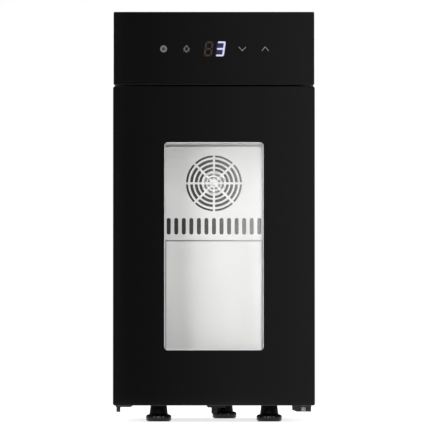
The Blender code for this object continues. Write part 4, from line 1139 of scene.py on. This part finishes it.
def make_rotor(fan, hub, turn, sweep):
    """A moulded fan wheel: a cupped hub with twisted blades round it."""
    low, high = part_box(f"{fan}_frame")
    tip = (high.x - low.x) / 2 - FAN_RIM - 1 * MM
    front, back = low.y + 1 * MM, high.y - SPIDER - 1 * MM
    length = back - front
    cup = (
        (0, 0), (hub, 0), (hub, length - 2 * MM), (hub - 0.5 * MM, length - 0.6 * MM),
        (hub - 1.8 * MM, length), (0, length),
    )
    shape = turned(cup, (0, back, FAN_Z), "Y", 64)
    root = hub - 1.5 * MM
    steps = 8
    rise = (length - 2.5 * MM) / steps
    blades = bmesh.new()
    for index in range(BLADES):
        around = Matrix.Rotation(index * 2 * math.pi / BLADES, 4, "Y")
        points = [
            blades.verts.new(around @ Vector((root + (tip - root) * part / 4, 0, 0)))
            for part in range(5)
        ]
        edges = [blades.edges.new(pair) for pair in zip(points, points[1:])]
        bmesh.ops.spin(
            blades, geom=points + edges, cent=(0, 0, 0), axis=(0, 1, 0), dvec=(0, rise, 0),
            angle=turn * math.radians(sweep), steps=steps,
        )
    bmesh.ops.recalc_face_normals(blades, faces=blades.faces)
    bmesh.ops.solidify(blades, geom=blades.faces[:], thickness=1.1 * MM)
    bmesh.ops.translate(blades, verts=blades.verts, vec=(0, front + 1 * MM, FAN_Z))
    shape.from_mesh(mesh_of("blades", blades))
    piece(f"{fan}_wheel", shape, (FAN_FINISH,), (f"{fan}_rotor",), smooth=50)


def make_fan_frame(fan, hub):
    """A square fan frame with a round bore, a motor plate and four arms."""
    low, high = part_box(f"{fan}_frame")
    half = (high.x - low.x) / 2
    shape = box_shape(low, high, 3 * MM)
    spider_front, past = high.y - SPIDER, 5 * MM
    bore = rod(half - FAN_RIM, low.y - past, high.y + past, (0, 0, FAN_Z), sides=96)
    keep = [rod(hub, spider_front, high.y + 2 * past, (0, 0, FAN_Z), sides=64)]
    for index in range(2):
        arm = box_shape(
            (-2 * half, spider_front, -SPIDER_ARM / 2),
            (2 * half, high.y + 2 * past, SPIDER_ARM / 2),
        )
        turn = Matrix.Rotation(math.pi / 4 + index * math.pi / 2, 4, "Y")
        bmesh.ops.transform(arm, matrix=Matrix.Translation((0, 0, FAN_Z)) @ turn, verts=arm.verts)
        keep.append(arm)
    fixing = half - 4.75 * MM
    corners = [(x, FAN_Z + z) for x in (-fixing, fixing) for z in (-fixing, fixing)]
    shape = combine(
        shape, combine(bore, *keep), hole_cutter(corners, SCREW_HOLE, low.y - past, high.y + past)
    )
    soften(shape, 0.25 * MM, 1, 60)
    piece(f"{fan}_housing", shape, (FAN_FINISH,), (f"{fan}_frame",))


def make_hub_label():
    """The round paper label on the circulation fan's hub."""
    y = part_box("circulation_fan_rotor")[0].y
    shape = rod(13.2 * MM, y - 0.15 * MM, y + 0.05 * MM, (0, 0, FAN_Z), sides=64)
    body = BODY["circulation_fan_rotor"]
    piece("fan_hub_label", shape, (label_paper(),), body=body)


def make_fans():
    for fan, hub, turn, sweep in FANS:
        make_rotor(fan, hub, turn, sweep)
    for fan, hub, _, _ in FANS:
        make_fan_frame(fan, hub)
    make_hub_label()


# ---- the body and its rear

WRAP_CORNER = 2 * MM
FLANGE = 12 * MM
VENT = (62 * MM, 4.5 * MM)
VENT_PITCH = 10 * MM
VENT_ROWS = 6
VENT_SPACE = 8 * MM
VENT_BELOW_TOP = 30 * MM
VENT_BELOW_FAN = 25 * MM
SCREW_HOLE = 2.2 * MM
GUARD_RINGS = ((42.5, 35.5), (32.5, 25.5), (22.5, 15.5))
SCREW_NODES = [name for name in frame["nodes"] if "_screw_" in name]


def screw_places(kind):
    """The (x, z) middle of each screw of that kind."""
    boxes = [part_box(name) for name in SCREW_NODES if name.startswith(kind)]
    return [((low.x + high.x) / 2, (low.z + high.z) / 2) for low, high in boxes]


def make_wrap():
    """The folded steel wrap, its top corners rounded and its ends turned in."""
    low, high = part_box("outer_wrap")
    shape = box_shape(low, high)
    bevel(shape, top_edges(shape, high.z - SHEET), WRAP_CORNER, 6)
    past = 10 * MM
    inside = box_shape(
        (low.x + SHEET, low.y + SHEET, low.z - past),
        (high.x - SHEET, high.y - SHEET, high.z - SHEET),
    )
    ends = box_shape(
        (low.x + FLANGE, low.y - past, low.z - 2 * past),
        (high.x - FLANGE, high.y + past, high.z - FLANGE),
    )
    holes = hole_cutter(screw_places("rear_cover"), SCREW_HOLE, high.y - 3 * SHEET, high.y + past)
    shape = combine(shape, inside, ends, holes)
    soften(shape, 0.4 * MM, 2, 60)
    piece("steel_wrap", shape, (POWDER,), ("outer_wrap",))


def vent_centres():
    """The (x, z) middle of each vent: two columns above the exhaust fan and two below it."""
    x = VENT[0] / 2 + VENT_SPACE
    starts = (HIGH.z - VENT_BELOW_TOP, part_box("exhaust_fan_frame")[0].z - VENT_BELOW_FAN)
    return [
        (side, start - row * VENT_PITCH)
        for start in starts for side in (-x, x) for row in range(VENT_ROWS)
    ]


def make_rear_cover():
    """The rear cover, with punched vents and openings for the fan and the inlet."""
    low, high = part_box("rear_cover")
    past = 10 * MM
    front, back = low.y - past, high.y + past
    shape = box_shape(low, high, WRAP_CORNER)
    fan_low, fan_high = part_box("exhaust_fan_frame")
    opening = rod((fan_high.x - fan_low.x) / 2 - FAN_RIM, front, back, (0, 0, FAN_Z), sides=96)
    inlet_low, inlet_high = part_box("power_inlet")
    lip = 2.7 * MM
    inlet = box_shape(
        (inlet_low.x + lip, front, inlet_low.z + lip),
        (inlet_high.x - lip, back, inlet_high.z - lip),
    )
    screws = screw_places("rear_cover") + screw_places("fan_guard")
    shape = combine(
        shape, slot_cutter(vent_centres(), *VENT, front, back, 5), opening,
        hole_cutter(screws, SCREW_HOLE, front, back), inlet,
    )
    soften(shape, 0.25 * MM, 1, 60)
    piece("rear_cover_sheet", shape, (POWDER,), ("rear_cover",))


def make_guard():
    """The moulded finger guard over the exhaust fan."""
    low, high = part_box("exhaust_fan_guard")
    past = 10 * MM
    front, back = low.y - past, high.y + past
    places = screw_places("fan_guard")
    shape = combine(
        box_shape(low, high, 6 * MM), ring_cutter(GUARD_RINGS, 3 * MM, 2, front, back, math.pi / 4),
        hole_cutter(places, SCREW_HOLE, front, back),
        hole_cutter(places, 3.8 * MM, high.y - 2.5 * MM, back),
    )
    soften(shape, 0.5 * MM, 2, 60)
    piece("fan_finger_guard", shape, (PLASTIC,), ("exhaust_fan_guard",))


def make_screws():
    """Pan-head screws with a cross recess."""
    head, rise, shank, arm, reach = 3.5 * MM, 2.2 * MM, 1.8 * MM, 0.9 * MM, 3.6 * MM
    for node in SCREW_NODES:
        low, high, (x, _, z) = box_and_middle(node)
        seat = high.y - rise
        profile = (
            (0, -(seat - low.y)), (shank, -(seat - low.y)), (shank, 0), (head, 0), (head, 0.7 * MM),
            (head * 0.93, 1.3 * MM), (head * 0.75, 1.85 * MM), (head * 0.4, 2.15 * MM), (0, rise),
        )
        flipped = [(radius, -height) for radius, height in profile]
        shape = turned(flipped, (x, seat, z), "Y", 32)
        cross = [
            box_shape(
                (x - wide / 2, high.y - 1.3 * MM, z - tall / 2),
                (x + wide / 2, high.y + 1 * MM, z + tall / 2),
            )
            for wide, tall in ((arm, reach), (reach, arm))
        ]
        shape = combine(shape, *cross)
        piece(f"{node}_head", shape, (ZINC,), (node,))


def make_inlet():
    """The mains inlet with its three flat pins."""
    softened("mains_inlet", "power_inlet", PLASTIC, 0.3 * MM)
    _, high, (x, _, z) = box_and_middle("power_inlet")
    floor = high.y - 14.5 * MM
    shape = bmesh.new()
    for across, up in ((-7 * MM, -2 * MM), (0, 2.4 * MM), (7 * MM, -2 * MM)):
        size = Matrix.Diagonal((2 * MM, 11 * MM, 4 * MM, 1.0))
        place = Matrix.Translation((x + across, floor + 5.5 * MM, z + up))
        bmesh.ops.create_cube(shape, size=1.0, matrix=place @ size)
    soften(shape, 0.5 * MM, 2)
    piece("mains_inlet_pins", shape, (ZINC,), body=BODY["power_inlet"])


def make_body():
    make_wrap()
    make_rear_cover()
    make_guard()
    make_screws()
    make_inlet()
    softened("base_tray", "base_plate", POWDER, 0.4 * MM)
    softened("front_frame_face", "front_frame", POWDER, 0.3 * MM)


# ---- feet and brackets


def make_feet():
    """Levelling feet: a tapered barrel on a rounded flange, with a recess for the stud on top."""
    for node in ("front_left_foot", "front_right_foot", "rear_foot"):
        _, high, (x, y, _) = box_and_middle(node)
        top = high.z / MM
        outline = (
            (0, top - 6), (4.3, top - 6), (4.3, top - 0.5), (4.8, top), (8.6, top),
            (9.1, top - 0.5), (10.3, 9.0), (10.8, 8.2), (12.2, 7.9), (13.3, 7.4), (14.1, 6.6),
            (14.4, 5.6), (14.4, 2.2), (14.0, 1.2), (13.2, 0.8), (12.9, 0.7), (12.9, 0), (0, 0),
        )
        profile = [(radius * MM, height * MM) for radius, height in outline]
        shape = turned(profile, (x, y, 0), steps=72)
        piece(f"{node}_moulding", shape, (GLOSS,), (node,), smooth=50)


def make_hinge_pins():
    """Hinge pins with rounded ends. The upper one is turned over, and takes the dark bracket finish
    as painted shade in the gap between head and door.
    """
    radius = 3 * MM
    for node, finish_or_painted_shade, turned_over in (
        # The upper pin gets the dark bracket finish as painted shade.
        ("lower_hinge_pin", PIN, False), ("upper_hinge_pin", BRACKET, True),
    ):
        low, high, (x, y, _) = box_and_middle(node)
        length = high.z - low.z
        profile = [
            (0, 0), (1.8 * MM, 0), (2.6 * MM, 0.35 * MM), (radius, 1.1 * MM),
            (radius, length - 1 * MM), (2.2 * MM, length), (0, length),
        ]
        if turned_over:
            profile = [(r, length - h) for r, h in profile]
        shape = turned(profile, (x, y, low.z), steps=48)
        piece(f"{node}_turned", shape, (finish_or_painted_shade,), (node,), smooth=50)


def make_brackets():
    for place in ("lower_hinge", "upper_hinge", "left_door", "rear_foot"):
        softened(f"{place}_bracket_pressing", f"{place}_bracket", BRACKET, 0.25 * MM)


# ---- run

bpy.context.scene.view_settings.view_transform = "Standard"
STAINLESS = brushed_stainless()
POWDER = powder_black()
PLASTIC = black_plastic()
FAN_FINISH = fan_plastic()
COLD_SINK_SHADE = cold_sink_painted_shade()
PRINT = black_print()
PANE = clear_pane()
SHEEN_PANE = pane_with_painted_sheen()
RUBBER = seal_rubber()
ALUMINIUM = bare_aluminium()
BRACKET = bracket_steel()
ZINC = zinc_steel()
PIN = pin_steel()
WHITE = white_plastic()
GLOSS = glossy_plastic()

KEPT_FINISH = {
    "cabinet_paint": POWDER,
    "stainless": STAINLESS,
    "foam": foam(),
    "black_plastic": PLASTIC,
    "foot_plastic": GLOSS,
    "aluminium": ALUMINIUM,
    "ceramic": ceramic(),
    "seal_rubber": RUBBER,
    "black_glass": PRINT,
    "clear_glass": SHEEN_PANE,
    "circuit_board": circuit_board(),
    "white_plastic": WHITE,
    "bracket_grey": BRACKET,
    "zinc_steel": ZINC,
}

# Each kept node takes the finish of its slot, but the cold sink takes a near-black finish: painted
# shade behind the fan cover's slots.
for node, slot in SLOT.items():
    dress(node, COLD_SINK_SHADE if node == "cold_sink" else KEPT_FINISH[slot])
dress("lamp_lens", lamp_diffuser(LAMP_STRENGTH))

make_camera()
make_world()
make_floor()
make_card()
make_lights()
make_door()
make_head()
make_fan_cover()
make_duct_panel()
make_liner()
make_fans()
make_body()
make_feet()
make_hinge_pins()
make_brackets()
